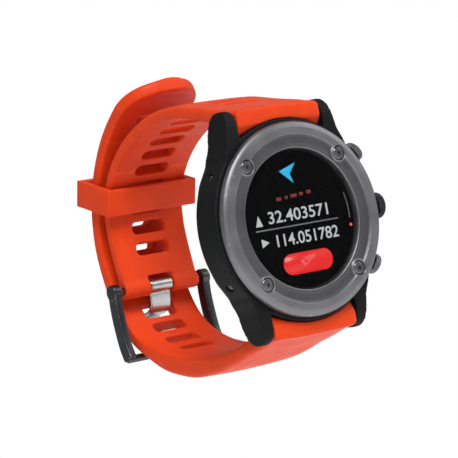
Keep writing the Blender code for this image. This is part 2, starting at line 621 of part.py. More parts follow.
def build_buckle():
    """The frame with two arms and an end bar, the tang, and the spring bar."""
    path = smooth_path(metres(ARM_ROUTE), 2)
    middle = ARM_INNER_X + ARM_WIDTH / 2
    arms = [band("arm", path, lambda s: ARM_WIDTH / 2, lambda s: ARM_DEPTH / 2, DARK_STEEL, 0.2,
                 side * middle) for side in (-1, 1)]
    reach = ARM_INNER_X + ARM_WIDTH + 0.15 * MM
    y, z = ARM_ROUTE[-1]
    end_bar = rod("buckle_frame", BUCKLE_END_RADIUS, (-reach, y * MM, z * MM), (reach, y * MM, z * MM),
                  DARK_STEEL, 12, 0.2 * MM)
    eyes = [rod("eye", 2.1 * MM, (side * (ARM_INNER_X - 0.15 * MM), *BUCKLE_BAR),
                (side * reach, *BUCKLE_BAR), steps=14) for side in (-1, 1)]
    frame = join(end_bar, arms + eyes)
    hole = rod("hole", BAR_HOLE_RADIUS, (-20 * MM, *BUCKLE_BAR), (20 * MM, *BUCKLE_BAR), steps=16)
    cut(frame, [hole])
    set_origin(frame, (0.0, *BUCKLE_BAR))
    rod("buckle_bar", BAR_RADIUS, (-15.1 * MM, *BUCKLE_BAR), (15.1 * MM, *BUCKLE_BAR),
        BRIGHT_STEEL, 12, 0.15 * MM)
    tang = band("buckle_tang", smooth_path(metres(TANG_ROUTE), 2),
                lambda s: TANG_WIDTH / 2 * (1.0 - 0.25 * s), lambda s: TANG_THICKNESS / 2,
                BRIGHT_STEEL)
    reach = TANG_WIDTH / 2 + 0.15 * MM
    eye = rod("eye", 1.75 * MM, (-reach, *BUCKLE_BAR), (reach, *BUCKLE_BAR), steps=14)
    join(tang, [eye])
    hole = rod("hole", BAR_HOLE_RADIUS, (-9 * MM, *BUCKLE_BAR), (9 * MM, *BUCKLE_BAR), steps=16)
    cut(tang, [hole])
    set_origin(tang, (0.0, *BUCKLE_BAR))


def build_lug_bars():
    reach = LUG_INNER_X + 1.5 * MM
    for word, end in (("upper", 1), ("lower", -1)):
        rod(f"lug_bar_{word}", BAR_RADIUS, (-reach, LUG_BAR_Y, end * LUG_BAR_Z),
            (reach, LUG_BAR_Y, end * LUG_BAR_Z), BRIGHT_STEEL, 12, 0.15 * MM)


def main():
    build_mid_case()
    build_bezel()
    build_screws()
    build_back()
    build_inside()
    build_buttons()
    set_origin(build_upper_strap(), (0.0, LUG_BAR_Y, LUG_BAR_Z))
    set_origin(build_lower_strap(), (0.0, LUG_BAR_Y, -LUG_BAR_Z))
    build_keeper()
    build_buckle()
    build_lug_bars()


clear_scene()
main()
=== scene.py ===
"""Looks of the GPS running watch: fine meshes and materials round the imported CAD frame.

Frame: metres, +X to 3 o'clock, +Z to 12 o'clock, -Y out of the dial, origin at the
centre of the case back. Side views of the strap are (y, z) points.
"""
import json
import math

import bmesh
import bpy
import numpy as np
from mathutils import Matrix, Vector


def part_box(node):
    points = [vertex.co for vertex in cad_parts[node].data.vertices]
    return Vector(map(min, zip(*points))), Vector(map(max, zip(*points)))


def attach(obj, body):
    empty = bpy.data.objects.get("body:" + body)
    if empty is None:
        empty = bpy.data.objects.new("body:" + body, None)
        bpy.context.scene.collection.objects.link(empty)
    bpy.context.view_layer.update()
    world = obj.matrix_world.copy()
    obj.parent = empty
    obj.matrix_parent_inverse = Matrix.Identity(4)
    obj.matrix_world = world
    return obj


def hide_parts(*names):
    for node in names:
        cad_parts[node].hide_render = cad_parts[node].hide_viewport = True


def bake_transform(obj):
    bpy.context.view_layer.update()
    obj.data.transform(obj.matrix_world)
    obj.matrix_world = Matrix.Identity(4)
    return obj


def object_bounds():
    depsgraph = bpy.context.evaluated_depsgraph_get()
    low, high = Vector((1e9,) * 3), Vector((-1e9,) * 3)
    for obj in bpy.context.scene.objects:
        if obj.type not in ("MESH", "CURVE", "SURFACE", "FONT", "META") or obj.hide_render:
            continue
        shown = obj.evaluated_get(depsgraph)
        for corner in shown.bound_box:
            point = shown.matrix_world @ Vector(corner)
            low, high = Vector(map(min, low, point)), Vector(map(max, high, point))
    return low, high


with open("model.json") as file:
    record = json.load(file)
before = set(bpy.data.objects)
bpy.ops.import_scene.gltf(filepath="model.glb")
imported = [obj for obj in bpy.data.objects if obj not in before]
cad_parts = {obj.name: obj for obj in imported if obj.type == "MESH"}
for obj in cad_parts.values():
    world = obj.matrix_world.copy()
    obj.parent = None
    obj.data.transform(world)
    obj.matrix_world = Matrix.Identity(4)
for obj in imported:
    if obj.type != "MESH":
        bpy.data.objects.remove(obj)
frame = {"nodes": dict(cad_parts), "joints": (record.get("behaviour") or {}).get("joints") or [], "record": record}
CAD_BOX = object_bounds()
NODES = frame["nodes"]
JOINTS = {joint["name"]: joint for joint in frame["joints"]}
MM = 0.001

# ---------------------------------------------------------------- sizes, from the frame
CASE_BODY = "watch_case"
BEZEL_BASE_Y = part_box("bezel")[1].y
GLASS_LOW, GLASS_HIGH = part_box("cover_glass")
GLASS_RADIUS = GLASS_HIGH.x
CASE_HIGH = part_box("mid_case")[1]
CASE_RADIUS = CASE_HIGH.x
LUG_TIP_Z = CASE_HIGH.z
STRAP_END_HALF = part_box("strap_upper")[1].x
UPPER_PIVOT = Vector(JOINTS["upper_strap_open"]["pos_m"])
LOWER_PIVOT = Vector(JOINTS["lower_strap_open"]["pos_m"])
BUCKLE_BAR = Vector(JOINTS["buckle_frame_turn"]["pos_m"])
LOOP_CENTRE = Vector(JOINTS["keeper_slide"]["pos_m"])

BEZEL_SCREW_RADIUS = 20.3 * MM
BACK_SCREW_RADIUS = 18.3 * MM
BUTTON_Y = -9.0 * MM
PUSHER_ANGLE = 31.5
LUG_INNER_X = 13.2 * MM
LUG_TIP_WIDTH = 2.4 * MM
BAR_HOLE_RADIUS = 0.95 * MM
SIDE_PLUG_ANGLES = (147.0, 213.0)    # degrees, on the 9 o'clock side
BARREL_CLEARANCE = 0.08 * MM         # between the strap ends and the round case
STRAP_FRONT_Y = -11.7 * MM
STRAP_BUCKLE_HALF = 11.7 * MM
STRAP_TAIL_HALF = 12.0 * MM
SLOT_WIDTH = 10.0 * MM
SLOT_LENGTH = 3.2 * MM
SLOT_CORNER = 1.1 * MM
UPPER_SLOT_PITCH = 5.8 * MM
UPPER_SLOT_COUNT = 13
UPPER_SLOT_FIRST = 9.9 * MM          # from the buckle's bar
TAIL_SLOT_PITCH = 6.4 * MM
TAIL_SLOT_STEPS = range(-3, 10)      # counted from the slot that takes the tang
TANG_SLOT = (54.9 * MM, -17.3 * MM)
TANG_SLOT_EXTRA = 1.2 * MM
TAIL_TIP_REACH = 11.0 * MM
TAIL_TIP_SHARE = 0.32                # width left at the very tip
UPPER_ARC_RADIUS = 30.8 * MM
KEEPER_ANGLE = 18.5
KEEPER_LENGTH = 7.0 * MM
KEEPER_HOLE = (27.7 * MM, 39.3 * MM)
KEEPER_WALL = 1.6 * MM
KEEPER_HALF_WIDTH = 14.0 * MM
ARM_INNER_X = 13.2 * MM
ARM_WIDTH = 2.2 * MM
BUCKLE_END_RADIUS = 1.0 * MM
BUCKLE_EYE_RADIUS = 2.1 * MM
FOLD_RADIUS = 2.3 * MM
TANG_WIDTH = 6.6 * MM
FLOOR_DROP = 75.0 * MM               # clear of the strap when it swings open

# Side views in millimetres, the same routes as the CAD solids.
UPPER_ROUTE_FRONT = [(-11.6, 24.4), (-7.4, 27.0), (3.0, 29.4), (14.2, 31.7), (25.6, 31.4),
                     (36.4, 27.9), (43.5, 23.6), (48.6, 18.6)]
LOWER_ROUTE_FRONT = [(-11.6, 24.4), (-7.4, 26.4), (3.0, 29.7), (14.0, 32.0), (26.0, 32.3),
                     (37.0, 30.4), (44.8, 27.0), (50.8, 22.8), (54.9, 17.3), (57.4, 10.0)]
TAIL_ANGLE = [-6.0, 7.0, 17.0, 27.0, 38.0, 47.0, 56.0, 65.0, 72.0, 78.5]
TAIL_RADIUS = [37.1, 36.6, 36.2, 35.9, 35.7, 35.7, 35.8, 36.2, 36.5, 36.6]
ARM_ROUTE = [(51.4, -10.2), (51.6, -15.0), (51.3, -19.5), (50.7, -23.8), (49.9, -26.6),
             (49.4, -27.8)]
TANG_ROUTE = [(51.9, -11.4), (52.2, -14.0), (53.0, -16.3), (55.0, -17.3), (57.6, -17.9),
              (58.8, -19.8), (58.0, -23.2), (55.2, -26.6), (51.8, -29.0), (50.0, -29.9)]
LUG_END_REACH = [0.0, 4.6, 12.0, 22.0]
LUG_END_HALF = [4.2, 2.2, 1.9, 1.7]
TAIL_END_REACH = [0.0, 4.6, 15.6, 26.8, 38.8, 50.0, 59.0]
TAIL_END_HALF = [3.9, 2.5, 1.8, 2.2, 2.8, 2.5, 1.9]


# ---------------------------------------------------------------- mesh helpers
def add_object(name, data):
    """Link a new object that shows the given data."""
    obj = bpy.data.objects.new(name, data)
    bpy.context.scene.collection.objects.link(obj)
    return obj


def object_of(name, verts, faces, look=None, angle=None):
    """Link a smooth-shaded mesh object made of arrays of vertices and faces."""
    mesh = bpy.data.meshes.new(name)
    mesh.from_pydata([tuple(v) for v in verts], [], [tuple(f) for f in faces])
    mesh.validate()
    mesh.shade_smooth()
    if angle:
        mesh.set_sharp_from_angle(angle=math.radians(angle))
    if look:
        mesh.materials.append(look)
    return add_object(name, mesh)


def dress(obj, look, angle=None):
    """Give an object one material and smooth faces, with sharp edges past an angle."""
    obj.data.materials.clear()
    obj.data.materials.append(look)
    obj.data.shade_smooth()
    if angle:
        obj.data.set_sharp_from_angle(angle=math.radians(angle))
    return obj


def face_out(obj):
    """Make the faces of a closed mesh point outwards."""
    bm = bmesh.new()
    bm.from_mesh(obj.data)
    bmesh.ops.recalc_face_normals(bm, faces=bm.faces)
    bm.to_mesh(obj.data)
    bm.free()
    return obj


def strip_faces(rows, columns, first=0, wrap=True):
    """Quads between consecutive rows of vertices numbered row by row."""
    faces = []
    for row in range(rows - 1):
        for column in range(columns if wrap else columns - 1):
            a = first + row * columns + column
            b = first + row * columns + (column + 1) % columns
            faces.append((a, b, b + columns, a + columns))
    return faces


def loft(name, sections, look=None, angle=None):
    """Close a tube of equal sections, each an (n, 3) array, with flat ends."""
    count, around = len(sections), len(sections[0])
    verts = np.concatenate(sections)
    faces = strip_faces(count, around)
    faces.append(tuple(range(around)))
    faces.append(tuple((count - 1) * around + i for i in range(around)))
    return face_out(object_of(name, verts, faces, look, angle))


def turned(name, profile, look=None, steps=192, angle=35.0, closed=None):
    """Turn (radius, y) points about Y. Points at radius 0 close the shape on the axis."""
    turns = np.linspace(0.0, 2.0 * math.pi, steps, endpoint=False)
    verts, rings = [], []
    for radius, y in profile:
        if radius < 1e-9:
            rings.append([len(verts)])
            verts.append((0.0, y, 0.0))
        else:
            start = len(verts)
            rings.append(list(range(start, start + steps)))
            verts += [(radius * math.cos(t), y, radius * math.sin(t)) for t in turns]
    if closed is None:
        closed = all(len(ring) > 1 for ring in rings)
    faces = []
    for i in range(len(rings) if closed else len(rings) - 1):
        first, second = rings[i], rings[(i + 1) % len(rings)]
        for step in range(steps):
            nxt = (step + 1) % steps
            corners = [first[step % len(first)], first[nxt % len(first)],
                       second[nxt % len(second)], second[step % len(second)]]
            unique = tuple(dict.fromkeys(corners))
            if len(unique) > 2:
                faces.append(unique)
    return face_out(object_of(name, verts, faces, look, angle))


def rounded_profile(points, radius, steps=4):
    """Replace each corner of an open (r, y) outline by a small arc-like bend."""
    out = [points[0]]
    for before, here, after in zip(points, points[1:], points[2:]):
        a, b, c = (np.array(p, dtype=float) for p in (before, here, after))
        back, ahead = a - b, c - b
        reach = min(radius, 0.48 * np.linalg.norm(back), 0.48 * np.linalg.norm(ahead))
        start = b + back / np.linalg.norm(back) * reach
        end = b + ahead / np.linalg.norm(ahead) * reach
        for step in range(steps + 1):
            t = step / steps
            out.append(tuple((1 - t) ** 2 * start + 2 * t * (1 - t) * b + t ** 2 * end))
    out.append(points[-1])
    return out


def aim(direction):
    """Rotation that takes the turning axis Y to a direction."""
    return Vector((0.0, 1.0, 0.0)).rotation_difference(Vector(direction)).to_matrix().to_4x4()


def place(obj, origin, direction=(0.0, 1.0, 0.0)):
    """Bake a turned shape into its place: base at origin, axis along direction."""
    obj.data.transform(Matrix.Translation(Vector(origin)) @ aim(direction))
    return obj


def rod(name, radius, start, end, look=None, steps=48, edge=0.15 * MM):
    """A round bar with softened ends between two points."""
    start, end = Vector(start), Vector(end)
    length = (end - start).length
    outline = rounded_profile([(0.0, 0.0), (radius, 0.0), (radius, length), (0.0, length)], edge)
    return place(turned(name, outline, look, steps), start, end - start)


def smooth_path(points, per_span=10):
    """Points along a Catmull-Rom curve through (y, z) points."""
    known = np.array(points, dtype=float)
    padded = np.vstack([2 * known[0] - known[1], known, 2 * known[-1] - known[-2]])
    path = []
    for i in range(1, len(padded) - 2):
        a, b, c, d = padded[i - 1:i + 3]
        for step in range(per_span):
            t = step / per_span
            path.append(0.5 * (2 * b + (c - a) * t + (2 * a - 5 * b + 4 * c - d) * t ** 2
                               + (3 * b - 3 * c + d - a) * t ** 3))
    path.append(known[-1])
    return np.array(path)


def arc(radius, first, last, steps):
    """(y, z) points on an arc about the loop's centre, in degrees above +Y."""
    angles = np.radians(np.linspace(first, last, steps))
    return np.column_stack([LOOP_CENTRE.y + radius * np.cos(angles),
                            LOOP_CENTRE.z + radius * np.sin(angles)])


def path_frames(path):
    """Length along a (y, z) path, and its tangents and left-hand normals."""
    tangent = np.gradient(path, axis=0)
    tangent /= np.linalg.norm(tangent, axis=1)[:, None]
    normal = np.column_stack([-tangent[:, 1], tangent[:, 0]])
    along = np.concatenate([[0.0], np.cumsum(np.linalg.norm(np.diff(path, axis=0), axis=1))])
    return along, tangent, normal


def metres(points):
    return [(y * MM, z * MM) for y, z in points]


def rounded_section(w, t, outer_edge, inner_edge, crown=0.0, flats=7, bend=5):
    """Closed (x, depth) outline of a strap: rounded edges and a crowned outer face."""
    corners = [(w, t, outer_edge, 0.0), (-w, t, outer_edge, 90.0),
               (-w, -t, inner_edge, 180.0), (w, -t, inner_edge, 270.0)]
    points = []
    for x, depth, radius, start in corners:
        radius = min(radius, t * 0.98, w * 0.98)
        centre_x = x - math.copysign(radius, x)
        centre_d = depth - math.copysign(radius, depth)
        for step in range(bend + 1):
            angle = math.radians(start + 90.0 * step / bend)
            points.append((centre_x + radius * math.cos(angle), centre_d + radius * math.sin(angle)))
    outline = []
    for i, here in enumerate(points):
        following = points[(i + 1) % len(points)]
        outline.append(here)
        if abs(following[0] - here[0]) > w:
            for step in range(1, flats):
                s = step / flats
                outline.append((here[0] + (following[0] - here[0]) * s,
                                here[1] + (following[1] - here[1]) * s))
    shaped = []
    for x, depth in outline:
        lift = crown * (1.0 - (x / w) ** 2) - crown if depth > 0 else 0.0
        shaped.append((x, depth + lift))
    return np.array(shaped)


def band(name, path, sections, side=1.0, look=None, centre_x=0.0):
    """Loft one (x, depth) outline per path point; positive depth is to the given side."""
    _, _, normal = path_frames(path)
    rings = []
    for point, across, outline in zip(path, normal, sections):
        yz = point + outline[:, 1:2] * side * across
        rings.append(np.column_stack([outline[:, 0] + centre_x, yz]))
    return loft(name, rings, look)


def bake(obj):
    """Replace an object's mesh by what its modifiers make of it."""
    bpy.context.view_layer.update()
    evaluated = obj.evaluated_get(bpy.context.evaluated_depsgraph_get())
    mesh = bpy.data.meshes.new_from_object(evaluated)
    mesh.name = obj.name
    obj.modifiers.clear()
    obj.data = mesh
    return obj


def boolean(obj, others, operation):
    """Exact Boolean with each other object, which is then deleted."""
    for other in others:
        modifier = obj.modifiers.new("boolean", "BOOLEAN")
        modifier.operation = operation
        modifier.solver = "EXACT"
        modifier.object = other
    bake(obj)
    for other in others:
        bpy.data.objects.remove(other, do_unlink=True)
    return obj


def soften(obj, voxel, rounds, look):
    """Remesh finely and relax, which rounds every edge as a moulded piece's are."""
    remesh = obj.modifiers.new("remesh", "REMESH")
    remesh.mode = "VOXEL"
    remesh.voxel_size = voxel
    remesh.use_smooth_shade = True
    relax = obj.modifiers.new("relax", "SMOOTH")
    relax.factor = 0.5
    relax.iterations = rounds
    bake(obj)
    return dress(obj, look)


def bevelled(obj, width, segments=3, angle=35.0):
    """Round the sharp edges of a hard piece."""
    bevel = obj.modifiers.new("bevel", "BEVEL")
    bevel.width = width
    bevel.segments = segments
    bevel.limit_method = "ANGLE"
    bevel.angle_limit = math.radians(angle)
    bevel.harden_normals = False
    bake(obj)
    obj.data.shade_smooth()
    obj.data.set_sharp_from_angle(angle=math.radians(40.0))
    return obj


def join_meshes(name, objs):
    """Join separate solids of one piece into one object, keeping their materials."""
    bm = bmesh.new()
    mesh = bpy.data.meshes.new(name)
    for obj in objs:
        first_face = len(bm.faces)
        base = len(mesh.materials)
        for material in obj.data.materials:
            mesh.materials.append(material)
        bm.from_mesh(obj.data)
        bm.faces.ensure_lookup_table()
        for face in bm.faces[first_face:]:
            face.material_index += base
    bm.to_mesh(mesh)
    bm.free()
    for obj in objs:
        bpy.data.objects.remove(obj, do_unlink=True)
    return add_object(name, mesh)


def stands_for(obj, body, node, slot):
    """Ride on a body in place of a CAD node, which it hides; the slot argument is not used."""
    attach(obj, body)
    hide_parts(node)
    return obj


def ring_points(radius, start, count):
    """(x, z) points evenly round the dial axis, from an angle in degrees."""
    angles = [math.radians(start + 360.0 * i / count) for i in range(count)]
    return [(radius * math.cos(a), radius * math.sin(a)) for a in angles]


def bar_hole(pivot, reach):
    """Cutter for a spring bar's hole, along X through a pivot."""
    return rod("hole", BAR_HOLE_RADIUS, (-reach, pivot.y, pivot.z), (reach, pivot.y, pivot.z))


def outward(degrees):
    """Unit vector out of the case at an angle from 3 o'clock."""
    angle = math.radians(degrees)
    return Vector((math.cos(angle), 0.0, math.sin(angle)))


# ---------------------------------------------------------------- materials
class Shade:
    """A Principled material and short calls for the nodes that feed it."""

    def __init__(self, name, colour, roughness, metallic=0.0, specular=0.5):
        self.material = bpy.data.materials.new(name)
        self.material.use_nodes = True
        self.tree = self.material.node_tree
        self.shader = self.tree.nodes["Principled BSDF"]
        self.shader.inputs["Base Color"].default_value = (*colour, 1.0)
        self.shader.inputs["Roughness"].default_value = roughness
        self.shader.inputs["Metallic"].default_value = metallic
        self.shader.inputs["Specular IOR Level"].default_value = specular
        self.coordinates = self.node("TexCoord").outputs["Object"]
        self.bump = None

    def link(self, output, target):
        self.tree.links.new(output, target)

    def feed(self, socket, value):
        """Link an output to an input, or set the input to a number or colour."""
        if isinstance(value, bpy.types.NodeSocket):
            self.link(value, socket)
        elif isinstance(value, tuple) and socket.type == "RGBA":
            socket.default_value = (*value, 1.0)
        else:
            socket.default_value = value

    def node(self, kind, **inputs):
        """Add a node and feed its inputs by name, with _ for a space."""
        node = self.tree.nodes.new("ShaderNode" + kind)
        for name, value in inputs.items():
            self.feed(node.inputs[name.replace("_", " ")], value)
        return node

    def math(self, operation, first, second=0.0, third=0.0):
        node = self.node("Math")
        node.operation = operation
        for socket, value in zip(node.inputs, (first, second, third)):
            self.feed(socket, value)
        return node.outputs[0]

    def noise(self, scale, detail=3.0, roughness=0.5, vector=None):
        return self.node("TexNoise", Scale=scale, Detail=detail, Roughness=roughness,
                         Vector=vector or self.coordinates).outputs["Fac"]

    def cells(self, scale):
        node = self.node("TexVoronoi", Scale=scale, Vector=self.coordinates)
        return node.outputs["Distance"]

    def spread(self, value, low, high, to_low, to_high):
        return self.node("MapRange", Value=value, From_Min=low, From_Max=high, To_Min=to_low,
                         To_Max=to_high).outputs["Result"]

    def mix(self, share, first, second):
        node = self.node("Mix")
        node.data_type = "RGBA"
        self.link(share, node.inputs["Factor"])
        self.feed(node.inputs[6], first)
        self.feed(node.inputs[7], second)
        return node.outputs[2]

    def edges(self, low, high):
        """0 on flats and hollows, 1 on worn convex edges."""
        pointed = self.node("NewGeometry").outputs["Pointiness"]
        return self.spread(pointed, low, high, 0.0, 1.0)

    def round_the_dial(self, across, around):
        """A vector of radius and angle about the dial axis, for circular brushing."""
        split = self.node("SeparateXYZ", Vector=self.coordinates)
        x, z = split.outputs["X"], split.outputs["Z"]
        radius = self.math("SQRT", self.math("ADD", self.math("MULTIPLY", x, x),
                                             self.math("MULTIPLY", z, z)))
        angle = self.math("ARCTAN2", z, x)
        return self.node("CombineXYZ", X=self.math("MULTIPLY", radius, across),
                         Y=self.math("MULTIPLY", angle, around)).outputs[0]

    def stretched(self, scale):
        """Object coordinates scaled differently along each axis, for a brushed grain."""
        node = self.node("VectorMath")
        node.operation = "MULTIPLY"
        node.inputs[1].default_value = scale
        self.link(self.coordinates, node.inputs[0])
        return node.outputs[0]

    def rough(self, value):
        self.link(value, self.shader.inputs["Roughness"])

    def paint(self, value):
        self.link(value, self.shader.inputs["Base Color"])

    def add_bump(self, height, distance, strength=1.0):
        """Stack one more layer of fine relief on the surface."""
        node = self.node("Bump", Strength=strength, Distance=distance, Height=height)
        if self.bump:
            self.link(self.bump, node.inputs["Normal"])
        self.bump = node.outputs["Normal"]
        self.link(self.bump, self.shader.inputs["Normal"])


def silicone(name, colour):
    """Soft matte silicone: fine grain, faint cloudiness, handling shine and dusty edges."""
    made = Shade(name, colour, 0.48, specular=0.18)
    cloud = made.noise(160.0, 4.0)
    deep = tuple(c * 0.94 for c in colour)
    bright = (min(1.0, colour[0] * 1.03), colour[1] * 1.07, colour[2] * 1.1)
    body = made.mix(made.spread(cloud, 0.35, 0.65, 0.0, 1.0), deep, bright)
    handled = made.spread(made.noise(900.0), 0.3, 0.7, 0.1, 0.4)
    worn = made.math("MULTIPLY", made.edges(0.53, 0.60), handled)
    made.paint(made.mix(worn, body, (0.93, 0.15, 0.045)))
    grain = made.noise(5200.0, 2.0)
    shine = made.noise(340.0, 3.0)
    made.rough(made.math("ADD", made.spread(shine, 0.3, 0.7, 0.40, 0.55),
                         made.spread(grain, 0.3, 0.7, -0.05, 0.05)))
    made.add_bump(grain, 0.02 * MM, 0.5)
    made.add_bump(made.noise(420.0, 2.0), 0.05 * MM, 0.35)
    made.shader.inputs["Subsurface Weight"].default_value = 0.05
    made.shader.inputs["Subsurface Radius"].default_value = (0.0018, 0.0005, 0.0002)
    made.shader.inputs["Subsurface Scale"].default_value = 1.0
    made.shader.inputs["Sheen Weight"].default_value = 0.03
    made.shader.inputs["Sheen Roughness"].default_value = 0.45
    return made.material


def moulded(name, colour, roughness=0.5, specular=0.28, relief=0.03 * MM, wear=1.0):
    """Spark-textured moulded plastic with slightly polished edges and faint scuffs."""
    made = Shade(name, colour, roughness, specular=specular)
    grain = made.noise(3600.0, 3.0, 0.6)
    cloud = made.noise(210.0, 3.0)
    worn = made.math("MULTIPLY", made.edges(0.52, 0.60), made.spread(cloud, 0.35, 0.65, 0.25, 0.9))
    lighter = tuple(c * (1.0 + 1.6 * wear) + 0.012 * wear for c in colour)
    base = made.mix(made.spread(cloud, 0.3, 0.7, 0.0, 1.0), tuple(c * 0.8 for c in colour),
                    tuple(c * 1.25 for c in colour))
    made.paint(made.mix(worn, base, lighter))
    made.rough(made.math("SUBTRACT",
                         made.spread(grain, 0.3, 0.7, roughness - 0.06, roughness + 0.10),
                         made.math("MULTIPLY", worn, 0.16)))
    made.add_bump(grain, relief, 0.55)
    return made.material


def blasted(name, colour, roughness=0.38, brushed=None, wear=0.5):
    """Blasted or brushed metal with cloudy roughness and brighter worn edges."""
    made = Shade(name, colour, roughness, metallic=1.0)
    grain = made.noise(6500.0, 2.0)
    cloud = made.noise(150.0, 4.0)
    worn = made.math("MULTIPLY", made.edges(0.52, 0.62),
                     made.spread(cloud, 0.3, 0.7, wear * 0.4, wear))
    bright = tuple(min(0.9, c * 1.9 + 0.08) for c in colour)
    base = made.mix(made.spread(cloud, 0.3, 0.7, 0.0, 1.0), tuple(c * 0.92 for c in colour),
                    tuple(c * 1.08 for c in colour))
    made.paint(made.mix(worn, base, bright))
    rough = made.spread(cloud, 0.3, 0.7, roughness - 0.05, roughness + 0.06)
    if brushed == "round":
        lines = made.noise(1.0, 3.0, 0.6, made.round_the_dial(9000.0, 14.0))
        rough = made.math("ADD", rough, made.spread(lines, 0.3, 0.7, -0.06, 0.08))
        made.add_bump(lines, 0.012 * MM, 0.5)
    elif brushed:
        lines = made.noise(1.0, 3.0, 0.6, made.stretched(brushed))
        rough = made.math("ADD", rough, made.spread(lines, 0.3, 0.7, -0.06, 0.08))
        made.add_bump(lines, 0.012 * MM, 0.5)
    made.rough(rough)
    made.add_bump(grain, 0.012 * MM, 0.5)
    return made.material


def glowing(name, colour, strength):
    """A lit area of the display, with the panel's fine pixel grid."""
    made = Shade(name, (0.01, 0.01, 0.01), 0.3)
    dots = made.spread(made.cells(5600.0), 0.0, 0.6, 1.0, 0.82)
    light = made.mix(dots, tuple(c * 0.6 for c in colour), colour)
    made.link(light, made.shader.inputs["Emission Color"])
    made.shader.inputs["Emission Strength"].default_value = strength
    return made.material


def clear_glass(name):
    """Coated cover glass: nearly clear, a faint dark gloss with wiping marks."""
    made = Shade(name, (0.004, 0.004, 0.005), 0.04)
    made.shader.inputs["Alpha"].default_value = 0.10
    wiped = made.noise(260.0, 4.0)
    made.rough(made.spread(wiped, 0.35, 0.75, 0.03, 0.07))
    made.add_bump(wiped, 0.002 * MM, 0.3)
    return made.material


ORANGE = silicone("orange_silicone", (0.76, 0.052, 0.006))
BLACK = moulded("moulded_black", (0.0062, 0.0065, 0.0072), 0.56, 0.14, wear=0.4)
BLACK_SATIN = moulded("satin_black", (0.008, 0.0084, 0.0092), 0.40, 0.30)
GREY = blasted("bezel_metal", (0.23, 0.23, 0.24), 0.46, "round")
# Half-bright grey for the bezel's sunk ring: painted shade for that recess, laid on the same metal
GREY_SUNK_PAINTED_SHADE = blasted("bezel_sunk_ring_painted_shade", (0.125, 0.125, 0.132), 0.50, "round")
PUSHER_METAL = blasted("pusher_metal", (0.16, 0.16, 0.17), 0.38)
SCREW_METAL = blasted("screw_metal", (0.20, 0.20, 0.21), 0.30, wear=0.8)
DARK_STEEL = blasted("buckle_dark_steel", (0.085, 0.09, 0.10), 0.33, (300.0, 300.0, 6000.0),
                     wear=0.7)
STEEL = blasted("satin_steel", (0.52, 0.52, 0.53), 0.27, (400.0, 7000.0, 7000.0))
BACK_METAL = blasted("case_back_metal", (0.11, 0.11, 0.12), 0.36, "round")
RUBBER = moulded("seal_rubber", (0.009, 0.009, 0.009), 0.62, 0.3)
PANEL_BLACK = moulded("display_black", (0.0010, 0.0010, 0.0012), 0.35, 0.03,
                      0.002 * MM, 0.0)
BOARD = moulded("solder_mask", (0.008, 0.07, 0.035), 0.38, 0.5)
FOIL = blasted("battery_foil", (0.50, 0.51, 0.53), 0.34, (300.0, 4000.0, 300.0), wear=0.2)
CERAMIC = moulded("antenna_ceramic", (0.55, 0.50, 0.40), 0.5, 0.4)
GOLD = blasted("contact_gold", (0.78, 0.56, 0.22), 0.25, wear=0.2)
GLASS = clear_glass("cover_glass_clear")
SENSOR_GLASS = moulded("sensor_glass", (0.004, 0.004, 0.005), 0.08, 0.6)
WHITE_LIGHT = glowing("display_white", (0.62, 0.64, 0.65), 1.0)
CYAN_LIGHT = glowing("display_cyan", (0.015, 0.55, 0.93), 1.0)
RED_LIGHT = glowing("display_red", (1.0, 0.012, 0.010), 1.0)
DIM_RED_LIGHT = glowing("display_dim_red", (0.22, 0.004, 0.004), 1.0)
PINK_LIGHT = glowing("display_pink", (1.0, 0.12, 0.12), 1.0)
GREY_LIGHT = glowing("display_grey", (0.16, 0.16, 0.17), 1.0)


# ---------------------------------------------------------------- case and bezel
def prism(name, outline, low, high, axis):
    """Extrude a 2D outline along X (outline is (y, z)) or along Y (outline is (x, z))."""
    order = (lambda a, b, d: (d, a, b)) if axis == "X" else (lambda a, b, d: (a, d, b))
    sections = [np.array([order(a, b, depth) for a, b in outline]) for depth in (low, high)]
    return loft(name, sections)


def lug_plan(side, end):
    """(x, z) outline of a lug from the front, with a hollow curve into the round case."""
    tip = LUG_TIP_Z + MM
    flare = [(15.55, 28.95), (16.0, 26.6), (16.8, 22.6), (17.05, 21.0), (17.6, 19.4), (18.4, 17.9),
             (19.0, 16.2), (20.3, 14.1), (21.7, 12.0), (22.5, 10.0), (18.0, 8.0)]
    points = [(LUG_INNER_X, 8.0 * MM), (LUG_INNER_X, tip), (LUG_INNER_X + LUG_TIP_WIDTH, tip)]
    points += metres(flare)
    return [(side * x, end * z) for x, z in points]


def lug_side(end):
    """(y, z) outline of a lug from the side, as a smooth curve over the spring bar."""
    known = [(-12.0, 20.4), (-11.95, 23.0), (-11.75, 25.2), (-11.0, 27.2), (-9.4, 28.45),
             (-7.4, 28.72), (-5.4, 28.2), (-4.1, 26.6), (-3.5, 24.0), (-3.4, 20.4)]
    curve = [tuple(p) for p in smooth_path(metres(known), 5)]
    outline = [(-12.0 * MM, 7.0 * MM)] + curve + [(-3.4 * MM, 7.0 * MM)]
    return [(y, end * z) for y, z in outline]


